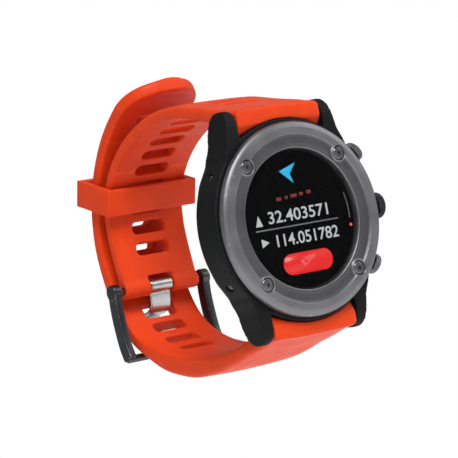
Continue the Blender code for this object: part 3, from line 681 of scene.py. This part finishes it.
def build_case():
    """The black barrel with its four lugs, screw bosses, and button and bar holes."""
    outer = rounded_profile(metres([(21.2, -12.0), (25.0, -12.0), (25.0, -4.2), (24.0, -2.9),
                                    (21.8, -0.9), (20.6, -0.9)]), 0.5 * MM)
    inner = metres([(20.6, -2.9), (16.0, -2.9), (16.0, -4.4), (21.2, -4.4)])
    case = turned("case_shell", outer + inner, steps=180, closed=True)
    added = []
    for side in (-1, 1):
        for end in (-1, 1):
            plan = prism("lug", lug_plan(side, end), -13.0 * MM, -2.0 * MM, "Y")
            profile = prism("lug_side", lug_side(end), side * 12.0 * MM, side * 24.0 * MM, "X")
            boolean(plan, [profile], "INTERSECT")
            hollow = turned("hollow", metres([(0.0, -13.0), (21.2, -13.0), (21.2, -4.4),
                                              (16.0, -4.4), (16.0, -2.0), (0.0, -2.0)]), steps=180)
            added.append(boolean(plan, [hollow], "DIFFERENCE"))
    for x, z in ring_points(BEZEL_SCREW_RADIUS, 45, 4):
        added.append(rod("boss", 2.4 * MM, (x, -12.0 * MM, z), (x, -4.0 * MM, z)))
    boolean(case, added, "UNION")
    cutters = [turned("cavity", metres([(0.0, -13.0), (16.0, -13.0), (16.0, -2.0), (0.0, -2.0)]),
                      steps=128)]
    for x, z in ring_points(BEZEL_SCREW_RADIUS, 45, 4):
        cutters.append(rod("hole", 1.05 * MM, (x, -14 * MM, z), (x, -8.0 * MM, z)))
    for degrees in (PUSHER_ANGLE, 0.0, -PUSHER_ANGLE):
        out = outward(degrees)
        middle = Vector((0.0, BUTTON_Y, 0.0))
        cutters.append(rod("hole", 1.8 * MM, middle + out * 19 * MM, middle + out * 27 * MM))
    for degrees in SIDE_PLUG_ANGLES:
        out = outward(degrees)
        middle = Vector((0.0, UPPER_PIVOT.y, 0.0))
        cutters.append(rod("hole", 1.0 * MM, middle + out * 23 * MM, middle + out * 26 * MM))
    for pivot in (UPPER_PIVOT, LOWER_PIVOT):
        cutters.append(bar_hole(pivot, LUG_INNER_X + 1.8 * MM))
    boolean(case, cutters, "DIFFERENCE")
    soften(case, 0.30 * MM, 5, BLACK)
    stands_for(case, CASE_BODY, "mid_case", "case_black")


BOSSES = ring_points(BEZEL_SCREW_RADIUS, 45, 4)
BOSS_TOP = -14.32                    # mm


def bezel_height(radius, x, z):
    """Y of the bezel's front face: outer band, sunk ring, inner rim and screw bosses."""
    known_r = [17.3, 17.42, 17.72, 18.1, 18.5, 20.15, 20.45, 20.68, 20.85, 21.1, 22.4, 23.2, 23.62,
               23.86, 24.0]
    known_y = [-13.62, -13.82, -13.92, -13.88, -13.80, -13.86, -13.98, -14.36, -14.46, -14.48,
               -14.40, -14.18, -13.95, -13.68, -13.30]
    ring = float(np.interp(radius / MM, known_r, known_y))
    nearest = min(math.hypot(x - bx, z - bz) for bx, bz in BOSSES)
    share = min(1.0, max(0.0, (2.55 * MM - nearest) / (0.55 * MM)))
    share = share * share * (3.0 - 2.0 * share)
    raised = ring + (BOSS_TOP - ring) * share if ring > BOSS_TOP else ring
    return raised * MM


def build_bezel():
    """The bezel as a fine polar relief, closed below, with four turned counterbores."""
    radii = np.concatenate([np.linspace(17.3, 18.2, 10, endpoint=False),
                            np.linspace(18.2, 20.1, 15, endpoint=False),
                            np.linspace(20.1, 21.2, 17, endpoint=False),
                            np.linspace(21.2, 23.1, 13, endpoint=False),
                            np.linspace(23.1, 24.0, 13)]) * MM
    steps = 864
    verts = []
    for radius in radii:
        for t in np.linspace(0.0, 2.0 * math.pi, steps, endpoint=False):
            x, z = radius * math.cos(t), radius * math.sin(t)
            verts.append((x, bezel_height(radius, x, z), z))
    for radius in (radii[-1], radii[0]):
        for t in np.linspace(0.0, 2.0 * math.pi, steps, endpoint=False):
            verts.append((radius * math.cos(t), BEZEL_BASE_Y, radius * math.sin(t)))
    rows = len(radii) + 2
    faces = strip_faces(rows, steps)
    for step in range(steps):
        following = (step + 1) % steps
        last = (rows - 1) * steps
        faces.append((last + step, last + following, following, step))
    bezel = face_out(object_of("bezel_ring", verts, faces, GREY))
    cutters = []
    for x, z in BOSSES:
        outline = metres([(0.0, -16.0), (1.96, -16.0), (1.96, -14.34), (1.76, -14.12),
                          (1.72, -13.4), (0.0, -13.4)])
        cutter = turned("counterbore", outline, steps=72)
        cutter.data.transform(Matrix.Translation((x, 0.0, z)))
        cutters.append(cutter)
    boolean(bezel, cutters, "DIFFERENCE")
    dress(bezel, GREY, 42.0)
    # Faces in the sunk ring take the darker grey, which is painted shade in the recess
    bezel.data.materials.append(GREY_SUNK_PAINTED_SHADE)
    for face in bezel.data.polygons:
        radius = math.hypot(face.center.x, face.center.z) / MM
        sunk = 17.6 < radius < 20.5 and -14.1 < face.center.y / MM < -13.7
        face.material_index = int(sunk)
    stands_for(bezel, CASE_BODY, "bezel", "bezel_grey")


def star_socket(radius, depth_low, depth_high):
    """A six-lobed driver recess as a prism along Y."""
    outline = []
    for step in range(72):
        angle = 2.0 * math.pi * step / 72
        reach = radius * (0.86 + 0.14 * math.cos(6.0 * angle))
        outline.append((reach * math.cos(angle), reach * math.sin(angle)))
    return prism("socket", outline, depth_low, depth_high, "Y")


def screw(name, node, base, direction, head_radius, head_height, socket_radius, shank):
    """A low-headed screw: rounded head, star recess and plain shank behind it."""
    outline = rounded_profile(
        [(0.0, 0.0), (head_radius, 0.0), (head_radius, head_height * 0.72),
         (head_radius * 0.82, head_height), (0.0, head_height)], 0.12 * MM, 3)
    head = turned(name, outline, SCREW_METAL, 64)
    socket = star_socket(socket_radius, head_height * 0.25, head_height + MM)
    boolean(head, [socket], "DIFFERENCE")
    stem = rod("shank", shank[0], (0.0, -shank[1], 0.0), (0.0, 0.1 * MM, 0.0), SCREW_METAL, 32)
    whole = join_meshes(name, [head, stem])
    dress(whole, SCREW_METAL, 38.0)
    place(whole, base, direction)
    stands_for(whole, CASE_BODY, node, "screw_steel")


def build_screws():
    for i, (x, z) in enumerate(ring_points(BEZEL_SCREW_RADIUS, 45, 4), 1):
        screw(f"bezel_screw_head_{i}", f"bezel_screw_{i}", (x, -13.42 * MM, z), (0.0, -1.0, 0.0),
              1.62 * MM, 0.78 * MM, 0.58 * MM, (0.75 * MM, 4.8 * MM))
    for i, (x, z) in enumerate(ring_points(BACK_SCREW_RADIUS, 15, 4), 1):
        screw(f"case_back_screw_head_{i}", f"case_back_screw_{i}", (x, -0.8 * MM, z),
              (0.0, 1.0, 0.0), 1.35 * MM, 0.65 * MM, 0.66 * MM, (0.7 * MM, 3.9 * MM))
    for word, degrees in zip(("upper", "lower"), SIDE_PLUG_ANGLES):
        out = outward(degrees)
        middle = Vector((0.0, UPPER_PIVOT.y, 0.0))
        screw(f"side_plug_{word}", f"side_screw_{word}", middle + out * 24.0 * MM, out,
              0.74 * MM, 0.6 * MM, 0.40 * MM, (0.55 * MM, 0.7 * MM))


# ---------------------------------------------------------------- glass and display
DISPLAY_Y = -12.36 * MM


def lit(name, outline, look, centre=(0.0, 0.0), layer=1):
    """A flat lit area just in front of the display, from (x, z) points in millimetres."""
    y = DISPLAY_Y - 0.006 * MM * layer
    verts = [((x + centre[0]) * MM, y, (z + centre[1]) * MM) for x, z in outline]
    verts += [(x, y + 0.004 * MM, z) for x, _, z in verts]
    count = len(outline)
    faces = [tuple(range(count)), tuple(range(2 * count - 1, count - 1, -1))]
    faces += [(i, (i + 1) % count, (i + 1) % count + count, i + count) for i in range(count)]
    return face_out(object_of(name, verts, faces, look))


def pill(half_length, half_height, steps=12):
    """(x, z) outline of a bar with round ends, in millimetres."""
    angles = np.linspace(-math.pi / 2, math.pi / 2, steps)
    straight = half_length - half_height
    right = [(straight + half_height * math.cos(a), half_height * math.sin(a)) for a in angles]
    return right + [(-x, -z) for x, z in right]


def number_row(name, words, left, right, foot, tall, look):
    """A row of digits fitted between two x positions, as thin solid shapes."""
    curve = bpy.data.curves.new(name, "FONT")
    curve.body = words
    curve.extrude = 0.002
    curve.offset = 0.012
    source = add_object(name + "_outline", curve)
    bpy.context.view_layer.update()
    mesh = bpy.data.meshes.new_from_object(source)
    bpy.data.objects.remove(source, do_unlink=True)
    points = np.array([v.co for v in mesh.vertices])
    low, high = points.min(axis=0), points.max(axis=0)
    for vertex in mesh.vertices:
        x = left + (vertex.co.x - low[0]) / (high[0] - low[0]) * (right - left)
        z = foot + (vertex.co.y - low[1]) / (high[1] - low[1]) * tall
        y = DISPLAY_Y / MM - 0.006 - 0.002 * (vertex.co.z > 0)
        vertex.co = (x * MM, y * MM, z * MM)
    mesh.materials.clear()
    mesh.materials.append(look)
    return add_object(name, mesh)


def arc_strip(radius, half, first, last, steps=24):
    """(x, z) outline of a thin arc about the dial's centre, in millimetres and degrees."""
    angles = np.radians(np.linspace(first, last, steps))
    outer = [((radius + half) * math.cos(a), (radius + half) * math.sin(a)) for a in angles]
    inner = [((radius - half) * math.cos(a), (radius - half) * math.sin(a)) for a in angles]
    return outer + inner[::-1]


def build_display():
    panel = turned("display_module", [
        (0.0, DISPLAY_Y), (16.85 * MM, DISPLAY_Y), *metres([
            (16.85, -12.16), (15.4, -12.16), (15.4, -11.4), (17.2, -11.4), (17.2, -10.0),
            (0.0, -10.0)])], PANEL_BLACK, 160)
    stands_for(panel, CASE_BODY, "display_panel", "display")
    shapes = [
        lit("guide_arrow", [(-3.7, 12.2), (1.6, 13.8), (-0.5, 11.2), (0.2, 8.9)], CYAN_LIGHT),
        lit("digit_row_mark_1", [(-13.5, -0.3), (-11.3, -0.3), (-12.4, 2.4)], WHITE_LIGHT),
        number_row("digit_row_1", "32.403571", -9.4, 9.2, -0.1, 3.0, WHITE_LIGHT),
        lit("divider", pill(12.9, 0.17), GREY_LIGHT, (-0.9, -1.35)),
        lit("digit_row_mark_2", [(-12.6, -3.3), (-12.6, -5.5), (-10.3, -4.4)], WHITE_LIGHT),
        number_row("digit_row_2", "114.051782", -8.0, 11.3, -5.9, 3.0, WHITE_LIGHT),
        lit("button_pill", pill(7.7, 2.6), RED_LIGHT, (0.4, -10.6)),
        lit("scroll_arc", arc_strip(15.65, 0.14, -6.5, 17.0), GREY_LIGHT),
        lit("scroll_dot", pill(0.42, 0.40), PINK_LIGHT, (15.6, -3.5)),
        lit("tick_short", [(-1.9, -10.3), (-1.3, -9.8), (-0.2, -11.0), (-0.6, -11.5)],
            PINK_LIGHT, layer=2),
        lit("tick_long", [(-0.6, -11.5), (-0.2, -11.0), (2.4, -8.9), (2.9, -9.4)],
            PINK_LIGHT, layer=3),
    ]
    for i, half in enumerate((0.8, 0.5, 1.0, 0.6, 0.8)):
        at = (-5.2 + 2.35 * i, 5.55 + 0.16 * i)
        shapes.append(lit(f"heading_bar_{i + 1}", pill(half, 0.45), DIM_RED_LIGHT, at))
    for shape in shapes:
        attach(shape, CASE_BODY)
    glass = turned("cover_glass_disc", rounded_profile(
        [(0.0, GLASS_LOW.y), (GLASS_RADIUS, GLASS_LOW.y), (GLASS_RADIUS, GLASS_HIGH.y),
         (0.0, GLASS_HIGH.y)], 0.14 * MM), GLASS, 160)
    stands_for(glass, CASE_BODY, "cover_glass", "cover_glass")


# ---------------------------------------------------------------- buttons
def knurled(name, outline, look, teeth, depth, first, last, steps=216):
    """A turned cap with shallow ribs round its side, between two heights."""
    cap = turned(name, outline, look, steps)
    for vertex in cap.data.vertices:
        x, y, z = vertex.co
        radius = math.hypot(x, z)
        rim = max(p[0] for p in outline)
        if radius > rim * 0.93 and first < y < last:
            wave = 0.5 - 0.5 * math.cos(teeth * math.atan2(z, x))
            scale = 1.0 - depth * wave ** 2 / radius
            vertex.co = (x * scale, y, z * scale)
    return cap


def build_buttons():
    """Two grey pushers and a black crown, each with its stem and shaft groove."""
    layout = (("pusher_upper", "upper_pusher", PUSHER_ANGLE, 2.6, 2.0, PUSHER_METAL, "bezel_grey"),
              ("crown_button", "crown", 0.0, 3.3, 2.2, BLACK_SATIN, "case_black"),
              ("pusher_lower", "lower_pusher", -PUSHER_ANGLE, 2.6, 2.0, PUSHER_METAL, "bezel_grey"))
    for node, body, degrees, radius, tall, look, slot in layout:
        radius, tall = radius * MM, tall * MM
        dish = -0.16 * MM if node == "crown_button" else 0.22 * MM
        sides = [(0.0, 0.0), (radius - 0.5 * MM, 0.0), (radius, 0.35 * MM)]
        sides += [(radius, 0.35 * MM + (tall - 0.85 * MM) * i / 8) for i in range(1, 9)]
        sides += [(radius - 0.15 * MM, tall - 0.2 * MM), (radius - 0.55 * MM, tall)]
        sides += [(radius * 0.55, tall - dish * 0.6), (0.0, tall - dish)]
        cap = knurled(node + "_cap", rounded_profile(sides, 0.12 * MM, 2), look,
                      36 if node == "crown_button" else 30, 0.16 * MM, 0.3 * MM, tall - 0.4 * MM)
        stem = turned("stem", rounded_profile(
            metres([(0.0, -4.9), (1.5, -4.9), (1.5, -3.25), (1.1, -3.25), (1.1, -2.55),
                    (1.5, -2.55), (1.5, 0.1), (0.0, 0.1)]), 0.06 * MM), STEEL, 64)
        whole = join_meshes(node + "_fine", [cap, stem])
        whole.data.shade_smooth()
        whole.data.set_sharp_from_angle(angle=math.radians(50.0))
        out = outward(degrees)
        place(whole, Vector((0.0, BUTTON_Y, 0.0)) + out * 25.9 * MM, out)
        stands_for(whole, body, node, slot)


# ---------------------------------------------------------------- strap
def slot_cutter(path, at, length=SLOT_LENGTH):
    """A round-cornered block through the strap at one place along its path."""
    along, tangent, _ = path_frames(path)
    y, z = (np.interp(at, along, path[:, i]) for i in (0, 1))
    ty, tz = (np.interp(at, along, tangent[:, i]) for i in (0, 1))
    size = math.hypot(ty, tz)
    ty, tz = ty / size, tz / size
    half_x, half_l, corner = SLOT_WIDTH / 2, length / 2, SLOT_CORNER
    outline = []
    for cx, cl, start in ((1, 1, 0), (-1, 1, 90), (-1, -1, 180), (1, -1, 270)):
        for step in range(7):
            angle = math.radians(start + 15.0 * step)
            outline.append((cx * (half_x - corner) + corner * math.cos(angle),
                            cl * (half_l - corner) + corner * math.sin(angle)))
    sections = []
    for depth in (-3.6 * MM, 3.6 * MM):
        sections.append(np.array([(x, y + ty * along_it - tz * depth, z + tz * along_it + ty * depth)
                                  for x, along_it in outline]))
    return loft("slot", sections)


def end_cutters(pivot):
    """Clearance for the case barrel and the spring bar, and a flat front face."""
    reach = CASE_RADIUS + BARREL_CLEARANCE
    barrel = turned("barrel", [(0.0, -16 * MM), (reach, -16 * MM), (reach, 2 * MM), (0.0, 2 * MM)],
                    steps=160)
    end = math.copysign(1.0, pivot.z)
    front = prism("front", [(-20 * MM, end * 10 * MM), (STRAP_FRONT_Y, end * 10 * MM),
                            (STRAP_FRONT_Y, end * 50 * MM), (-20 * MM, end * 50 * MM)],
                  -20 * MM, 20 * MM, "X")
    return [barrel, bar_hole(pivot, 15 * MM), front]


def buckle_end_cutters():
    """The buckle's bar hole, and the notch in the fold that the tang turns in."""
    half = TANG_WIDTH / 2 + 0.5 * MM
    y, z = BUCKLE_BAR.y, BUCKLE_BAR.z
    outline = [(y - 6 * MM, z - 6 * MM), (y + 6 * MM, z - 6 * MM), (y + 6 * MM, z + 2.9 * MM),
               (y - 6 * MM, z + 2.9 * MM)]
    return [bar_hole(BUCKLE_BAR, 15 * MM), prism("notch", outline, -half, half, "X")]


def strap_sections(path, half_width, half_thick, side):
    """Outlines along a strap: crowned outside, flatter and squarer inside."""
    along = path_frames(path)[0]
    sections = []
    for distance in along:
        s = distance / along[-1]
        w, t = half_width(s), half_thick(distance)
        outline = rounded_section(w, t, 1.15 * MM, 0.75 * MM, 0.38 * MM)
        if side < 0:
            outline = outline * np.array([1.0, -1.0])
        sections.append(outline)
    return sections


def build_upper_strap():
    """The short half, from the 12 o'clock lugs to the fold round the buckle's bar."""
    back = [tuple(p) for p in arc(UPPER_ARC_RADIUS, 18.0, -8.0, 4)]
    end = [(52.0 * MM, -6.0 * MM), (BUCKLE_BAR.y, BUCKLE_BAR.z)]
    path = smooth_path(metres(UPPER_ROUTE_FRONT) + back + end)
    total = path_frames(path)[0][-1]

    def half_width(s):
        return STRAP_END_HALF + (STRAP_BUCKLE_HALF - STRAP_END_HALF) * s

    def half_thick(distance):
        return float(np.interp(distance / MM, LUG_END_REACH, LUG_END_HALF)) * MM

    strap = band("strap_upper_fine", path, strap_sections(path, half_width, half_thick, 1.0))
    fold = rod("fold", FOLD_RADIUS, (-STRAP_BUCKLE_HALF, BUCKLE_BAR.y, BUCKLE_BAR.z),
               (STRAP_BUCKLE_HALF, BUCKLE_BAR.y, BUCKLE_BAR.z))
    boolean(fold, buckle_end_cutters(), "DIFFERENCE")
    cutters = end_cutters(UPPER_PIVOT) + buckle_end_cutters()
    cutters += [slot_cutter(path, total - UPPER_SLOT_FIRST - i * UPPER_SLOT_PITCH)
                for i in range(UPPER_SLOT_COUNT)]
    boolean(strap, cutters, "DIFFERENCE")
    strap = join_meshes("strap_upper_fine", [strap, fold])
    soften(strap, 0.33 * MM, 4, ORANGE)
    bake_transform(strap)
    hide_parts("strap_upper")


def build_lower_strap():
    """The long perforated tail, with a rounded tip and one longer slot for the tang."""
    front = [(y, -z) for y, z in metres(LOWER_ROUTE_FRONT)]
    back = []
    for degrees, radius in zip(TAIL_ANGLE, TAIL_RADIUS):
        angle = math.radians(degrees)
        back.append((LOOP_CENTRE.y + radius * MM * math.cos(angle),
                     LOOP_CENTRE.z + radius * MM * math.sin(angle)))
    path = smooth_path(front + back)
    along = path_frames(path)[0]
    total = along[-1]

    def half_width(s):
        taper = STRAP_END_HALF + (STRAP_TAIL_HALF - STRAP_END_HALF) * min(1.0, s / 0.45)
        left = (1.0 - s) * total
        if left >= TAIL_TIP_REACH:
            return taper
        share = math.sqrt(max(0.0, 1.0 - (1.0 - left / TAIL_TIP_REACH) ** 2))
        return taper * max(TAIL_TIP_SHARE, share)

    def half_thick(distance):
        return float(np.interp(distance / MM, TAIL_END_REACH, TAIL_END_HALF)) * MM

    strap = band("strap_lower_fine", path, strap_sections(path, half_width, half_thick, -1.0))
    tang_at = along[np.argmin(np.hypot(path[:, 0] - TANG_SLOT[0], path[:, 1] - TANG_SLOT[1]))]
    cutters = end_cutters(LOWER_PIVOT)
    cutters += [slot_cutter(path, tang_at + i * TAIL_SLOT_PITCH,
                            SLOT_LENGTH + TANG_SLOT_EXTRA * (i == 0)) for i in TAIL_SLOT_STEPS]
    boolean(strap, cutters, "DIFFERENCE")
    soften(strap, 0.36 * MM, 4, ORANGE)
    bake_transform(strap)
    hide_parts("strap_lower")


def build_keeper():
    """The loose loop: a crisp, straight rectangular band round both straps."""
    inner, outer = KEEPER_HOLE
    angle = math.radians(KEEPER_ANGLE)
    radial = np.array([math.cos(angle), math.sin(angle)])
    tangent = np.array([-radial[1], radial[0]])

    def block(name, low, high, half_x, half_length):
        middle = np.array([LOOP_CENTRE.y, LOOP_CENTRE.z]) + radial * (low + high) / 2
        path = np.array([middle + tangent * half_length * t for t in (-1.0, 0.0, 1.0)])
        half = (high - low) / 2
        outline = np.array([(half_x, half), (-half_x, half), (-half_x, -half), (half_x, -half)])
        return band(name, path, [outline] * len(path))

    keeper = block("keeper_fine", inner - KEEPER_WALL, outer + KEEPER_WALL, KEEPER_HALF_WIDTH,
                   KEEPER_LENGTH / 2)
    hole = block("hole", inner, outer, KEEPER_HALF_WIDTH - KEEPER_WALL, KEEPER_LENGTH)
    boolean(keeper, [hole], "DIFFERENCE")
    bevelled(keeper, 0.32 * MM, 4, 50.0)
    keeper.data.materials.clear()
    keeper.data.materials.append(ORANGE)
    stands_for(keeper, "strap_keeper", "keeper", "orange_silicone")


# ---------------------------------------------------------------- buckle
def build_buckle():
    """The frame with its two arms and end bar, and the hooked tang."""
    path = smooth_path(metres(ARM_ROUTE), 12)
    section = rounded_section(ARM_WIDTH / 2, 1.8 * MM, 0.55 * MM, 0.55 * MM)
    middle = ARM_INNER_X + ARM_WIDTH / 2
    arms = [band("arm", path, [section] * len(path), centre_x=side * middle) for side in (-1, 1)]
    reach = ARM_INNER_X + ARM_WIDTH
    y, z = (value * MM for value in ARM_ROUTE[-1])
    end_bar = rod("buckle_frame_fine", BUCKLE_END_RADIUS, (-reach, y, z), (reach, y, z),
                  edge=0.4 * MM)
    eyes = [rod("eye", BUCKLE_EYE_RADIUS, (side * (ARM_INNER_X - 0.1 * MM), BUCKLE_BAR.y, BUCKLE_BAR.z),
                (side * (reach + 0.1 * MM), BUCKLE_BAR.y, BUCKLE_BAR.z), edge=0.3 * MM)
            for side in (-1, 1)]
    buckle = boolean(end_bar, arms + eyes, "UNION")
    boolean(buckle, [bar_hole(BUCKLE_BAR, 15.25 * MM)], "DIFFERENCE")
    soften(buckle, 0.15 * MM, 3, DARK_STEEL)
    stands_for(buckle, "frame_of_buckle", "buckle_frame", "dark_steel")

    path = smooth_path(metres(TANG_ROUTE), 8)
    along = path_frames(path)[0]
    sections = [rounded_section(TANG_WIDTH / 2 * (1.0 - 0.25 * s / along[-1]), 0.55 * MM,
                                0.28 * MM, 0.28 * MM) for s in along]
    tang = band("buckle_tang_fine", path, sections)
    reach = TANG_WIDTH / 2 + 0.1 * MM
    eye = rod("eye", 1.75 * MM, (-reach, BUCKLE_BAR.y, BUCKLE_BAR.z),
              (reach, BUCKLE_BAR.y, BUCKLE_BAR.z), edge=0.25 * MM)
    boolean(tang, [eye], "UNION")
    boolean(tang, [bar_hole(BUCKLE_BAR, 20.0 * MM)], "DIFFERENCE")
    soften(tang, 0.13 * MM, 3, STEEL)
    stands_for(tang, "tang_of_buckle", "buckle_tang", "bright_steel")


def build_bars():
    """The spring bars, each with a collar and a thinner sprung tip at both ends."""
    layout = (("lug_bar_upper", UPPER_PIVOT, 14.7, CASE_BODY),
              ("lug_bar_lower", LOWER_PIVOT, 14.7, CASE_BODY),
              ("buckle_bar", BUCKLE_BAR, 15.1, "frame_of_buckle"))
    for node, pivot, reach, body in layout:
        outline = metres([(0.0, -reach), (0.42, -reach), (0.42, -12.9), (0.75, -12.9),
                          (0.75, -12.4), (0.66, -12.3)])
        outline += [(radius, -y) for radius, y in outline[::-1]]
        bar = turned(node + "_fine", rounded_profile(outline, 0.06 * MM, 2), STEEL, 48)
        place(bar, pivot, (1.0, 0.0, 0.0))
        stands_for(bar, body, node, "bright_steel")


# ---------------------------------------------------------------- case back
def build_back():
    """The round plate with its screws' seats, the charging contacts and the sensor window."""
    plate = turned("case_back_plate", rounded_profile(
        metres([(6.3, 0.0), (20.2, 0.0), (20.2, -2.0), (6.3, -2.0), (6.3, -1.0)]), 0.22 * MM),
        steps=192, closed=True)
    groove = turned("groove", metres([(14.4, -0.12), (14.9, -0.12), (14.9, 1.0), (14.4, 1.0)]),
                    steps=192)
    cutters = [groove]
    for x, z in ring_points(BACK_SCREW_RADIUS, 15, 4):
        cutters.append(rod("hole", 1.65 * MM, (x, -1.1 * MM, z), (x, MM, z)))
    for i in range(4):
        x, z = (-4.5 + 3.0 * i) * MM, -11.0 * MM
        cutters.append(rod("hole", 1.1 * MM, (x, -3 * MM, z), (x, MM, z)))
        pad = rod(f"charge_contact_fine_{i + 1}", 0.8 * MM, (x, -2.6 * MM, z), (x, -0.1 * MM, z),
                  GOLD, edge=0.25 * MM)
        stands_for(pad, CASE_BODY, f"charge_contact_{i + 1}", "contact_gold")
    boolean(plate, cutters, "DIFFERENCE")
    plate.data.materials.clear()
    plate.data.materials.append(BACK_METAL)
    bevelled(plate, 0.10 * MM, 2)
    stands_for(plate, CASE_BODY, "case_back", "dark_steel")
    window = turned("sensor_window_fine", rounded_profile(
        metres([(0.0, 0.0), (6.0, 0.0), (6.0, -1.9), (0.0, -1.9)]), 0.3 * MM),
        SENSOR_GLASS, 128)
    stands_for(window, CASE_BODY, "sensor_window", "cover_glass")


def finish_plain_nodes():
    """Give every CAD node that is still shown its detailed material."""
    looks = {"seal_rubber": RUBBER, "board_green": BOARD, "battery_foil": FOIL,
             "antenna_ceramic": CERAMIC, "dark_steel": DARK_STEEL, "bright_steel": STEEL,
             "contact_gold": GOLD, "cover_glass": SENSOR_GLASS, "display": PANEL_BLACK,
             "case_black": BLACK, "bezel_grey": GREY, "screw_steel": SCREW_METAL,
             "orange_silicone": ORANGE}
    slots = {part["node"]: part["material_slot"] for part in frame["record"]["subparts"]}
    for name, node in NODES.items():
        if node.hide_render:
            continue
        node.data.materials.clear()
        node.data.materials.append(looks[slots[name]])


# ---------------------------------------------------------------- camera, floor and light
def build_camera():
    """A long lens in front and to the left of the dial, rolled so that 12 leans left."""
    azimuth, elevation, roll = (math.radians(a) for a in (-36.6, -0.35, -10.2))
    distance = 650.0 * MM
    right = Vector((math.cos(azimuth), math.sin(azimuth), 0.0))
    back = Vector((math.sin(azimuth) * math.cos(elevation),
                   -math.cos(azimuth) * math.cos(elevation), math.sin(elevation)))
    up = back.cross(right)
    turned_right = right * math.cos(roll) + up * math.sin(roll)
    turned_up = up * math.cos(roll) - right * math.sin(roll)
    data = bpy.data.cameras.new("camera")
    data.sensor_width = 36.0
    data.lens = 210.1
    data.clip_start = 0.01
    data.clip_end = 100.0
    camera = add_object("camera", data)
    place_at = Vector((0.0, -13.2 * MM, 0.0)) - turned_right * 17.65 * MM - turned_up * 2.55 * MM
    place_at += back * distance
    rotation = Matrix((turned_right, turned_up, back)).transposed().to_4x4()
    camera.matrix_world = Matrix.Translation(place_at) @ rotation
    bpy.context.scene.camera = camera


def area_light(name, spot, size, power):
    """A white disk light that looks at the watch."""
    data = bpy.data.lights.new(name, "AREA")
    data.shape = "DISK"
    data.size = size
    data.energy = power
    lamp = add_object(name, data)
    lamp.location = spot
    toward = Vector((0.0, 0.02, 0.0)) - Vector(spot)
    lamp.rotation_euler = toward.to_track_quat("-Z", "Y").to_euler()


def build_stage():
    """A pale floor, an even white surround, a large key light and a weaker fill."""
    shade = Shade("floor_white", (0.92, 0.92, 0.92), 0.9, specular=0.0)
    shade.shader.inputs["Emission Color"].default_value = (1.0, 1.0, 1.0, 1.0)
    seen = shade.tree.nodes.new("ShaderNodeLightPath").outputs["Is Camera Ray"]
    glow = shade.math("MULTIPLY_ADD", seen, 0.85, 0.25)
    shade.link(glow, shade.shader.inputs["Emission Strength"])
    half = 0.45
    z = CAD_BOX[0].z - FLOOR_DROP
    corners = [(-half, -half, z), (half, -half, z), (half, half, z), (-half, half, z)]
    floor = object_of("floor", corners, [(0, 1, 2, 3)], shade.material)
    world = bpy.data.worlds.new("surround")
    world.use_nodes = True
    tree = world.node_tree
    surround = tree.nodes["Background"]
    surround.inputs["Color"].default_value = (1.0, 1.0, 1.0, 1.0)
    surround.inputs["Strength"].default_value = 0.30
    backdrop = tree.nodes.new("ShaderNodeBackground")
    backdrop.inputs["Strength"].default_value = 1.0
    backdrop.inputs["Color"].default_value = (1.0, 1.0, 1.0, 1.0)
    either = tree.nodes.new("ShaderNodeMixShader")
    ray = tree.nodes.new("ShaderNodeLightPath")
    tree.links.new(ray.outputs["Is Camera Ray"], either.inputs[0])
    tree.links.new(surround.outputs[0], either.inputs[1])
    tree.links.new(backdrop.outputs[0], either.inputs[2])
    tree.links.new(either.outputs[0], tree.nodes["World Output"].inputs["Surface"])
    bpy.context.scene.world = world
    area_light("key", (-0.35, -0.60, 0.80), 0.5, 9.5)
    area_light("fill", (0.6, -0.3, 0.35), 0.5, 1.5)
    bpy.context.scene.view_settings.view_transform = "Standard"
    bpy.context.scene.view_settings.look = "None"


def main():
    build_camera()
    build_stage()
    build_case()
    build_bezel()
    build_screws()
    build_display()
    build_buttons()
    build_upper_strap()
    build_lower_strap()
    build_keeper()
    build_buckle()
    build_bars()
    build_back()
    finish_plain_nodes()


main()
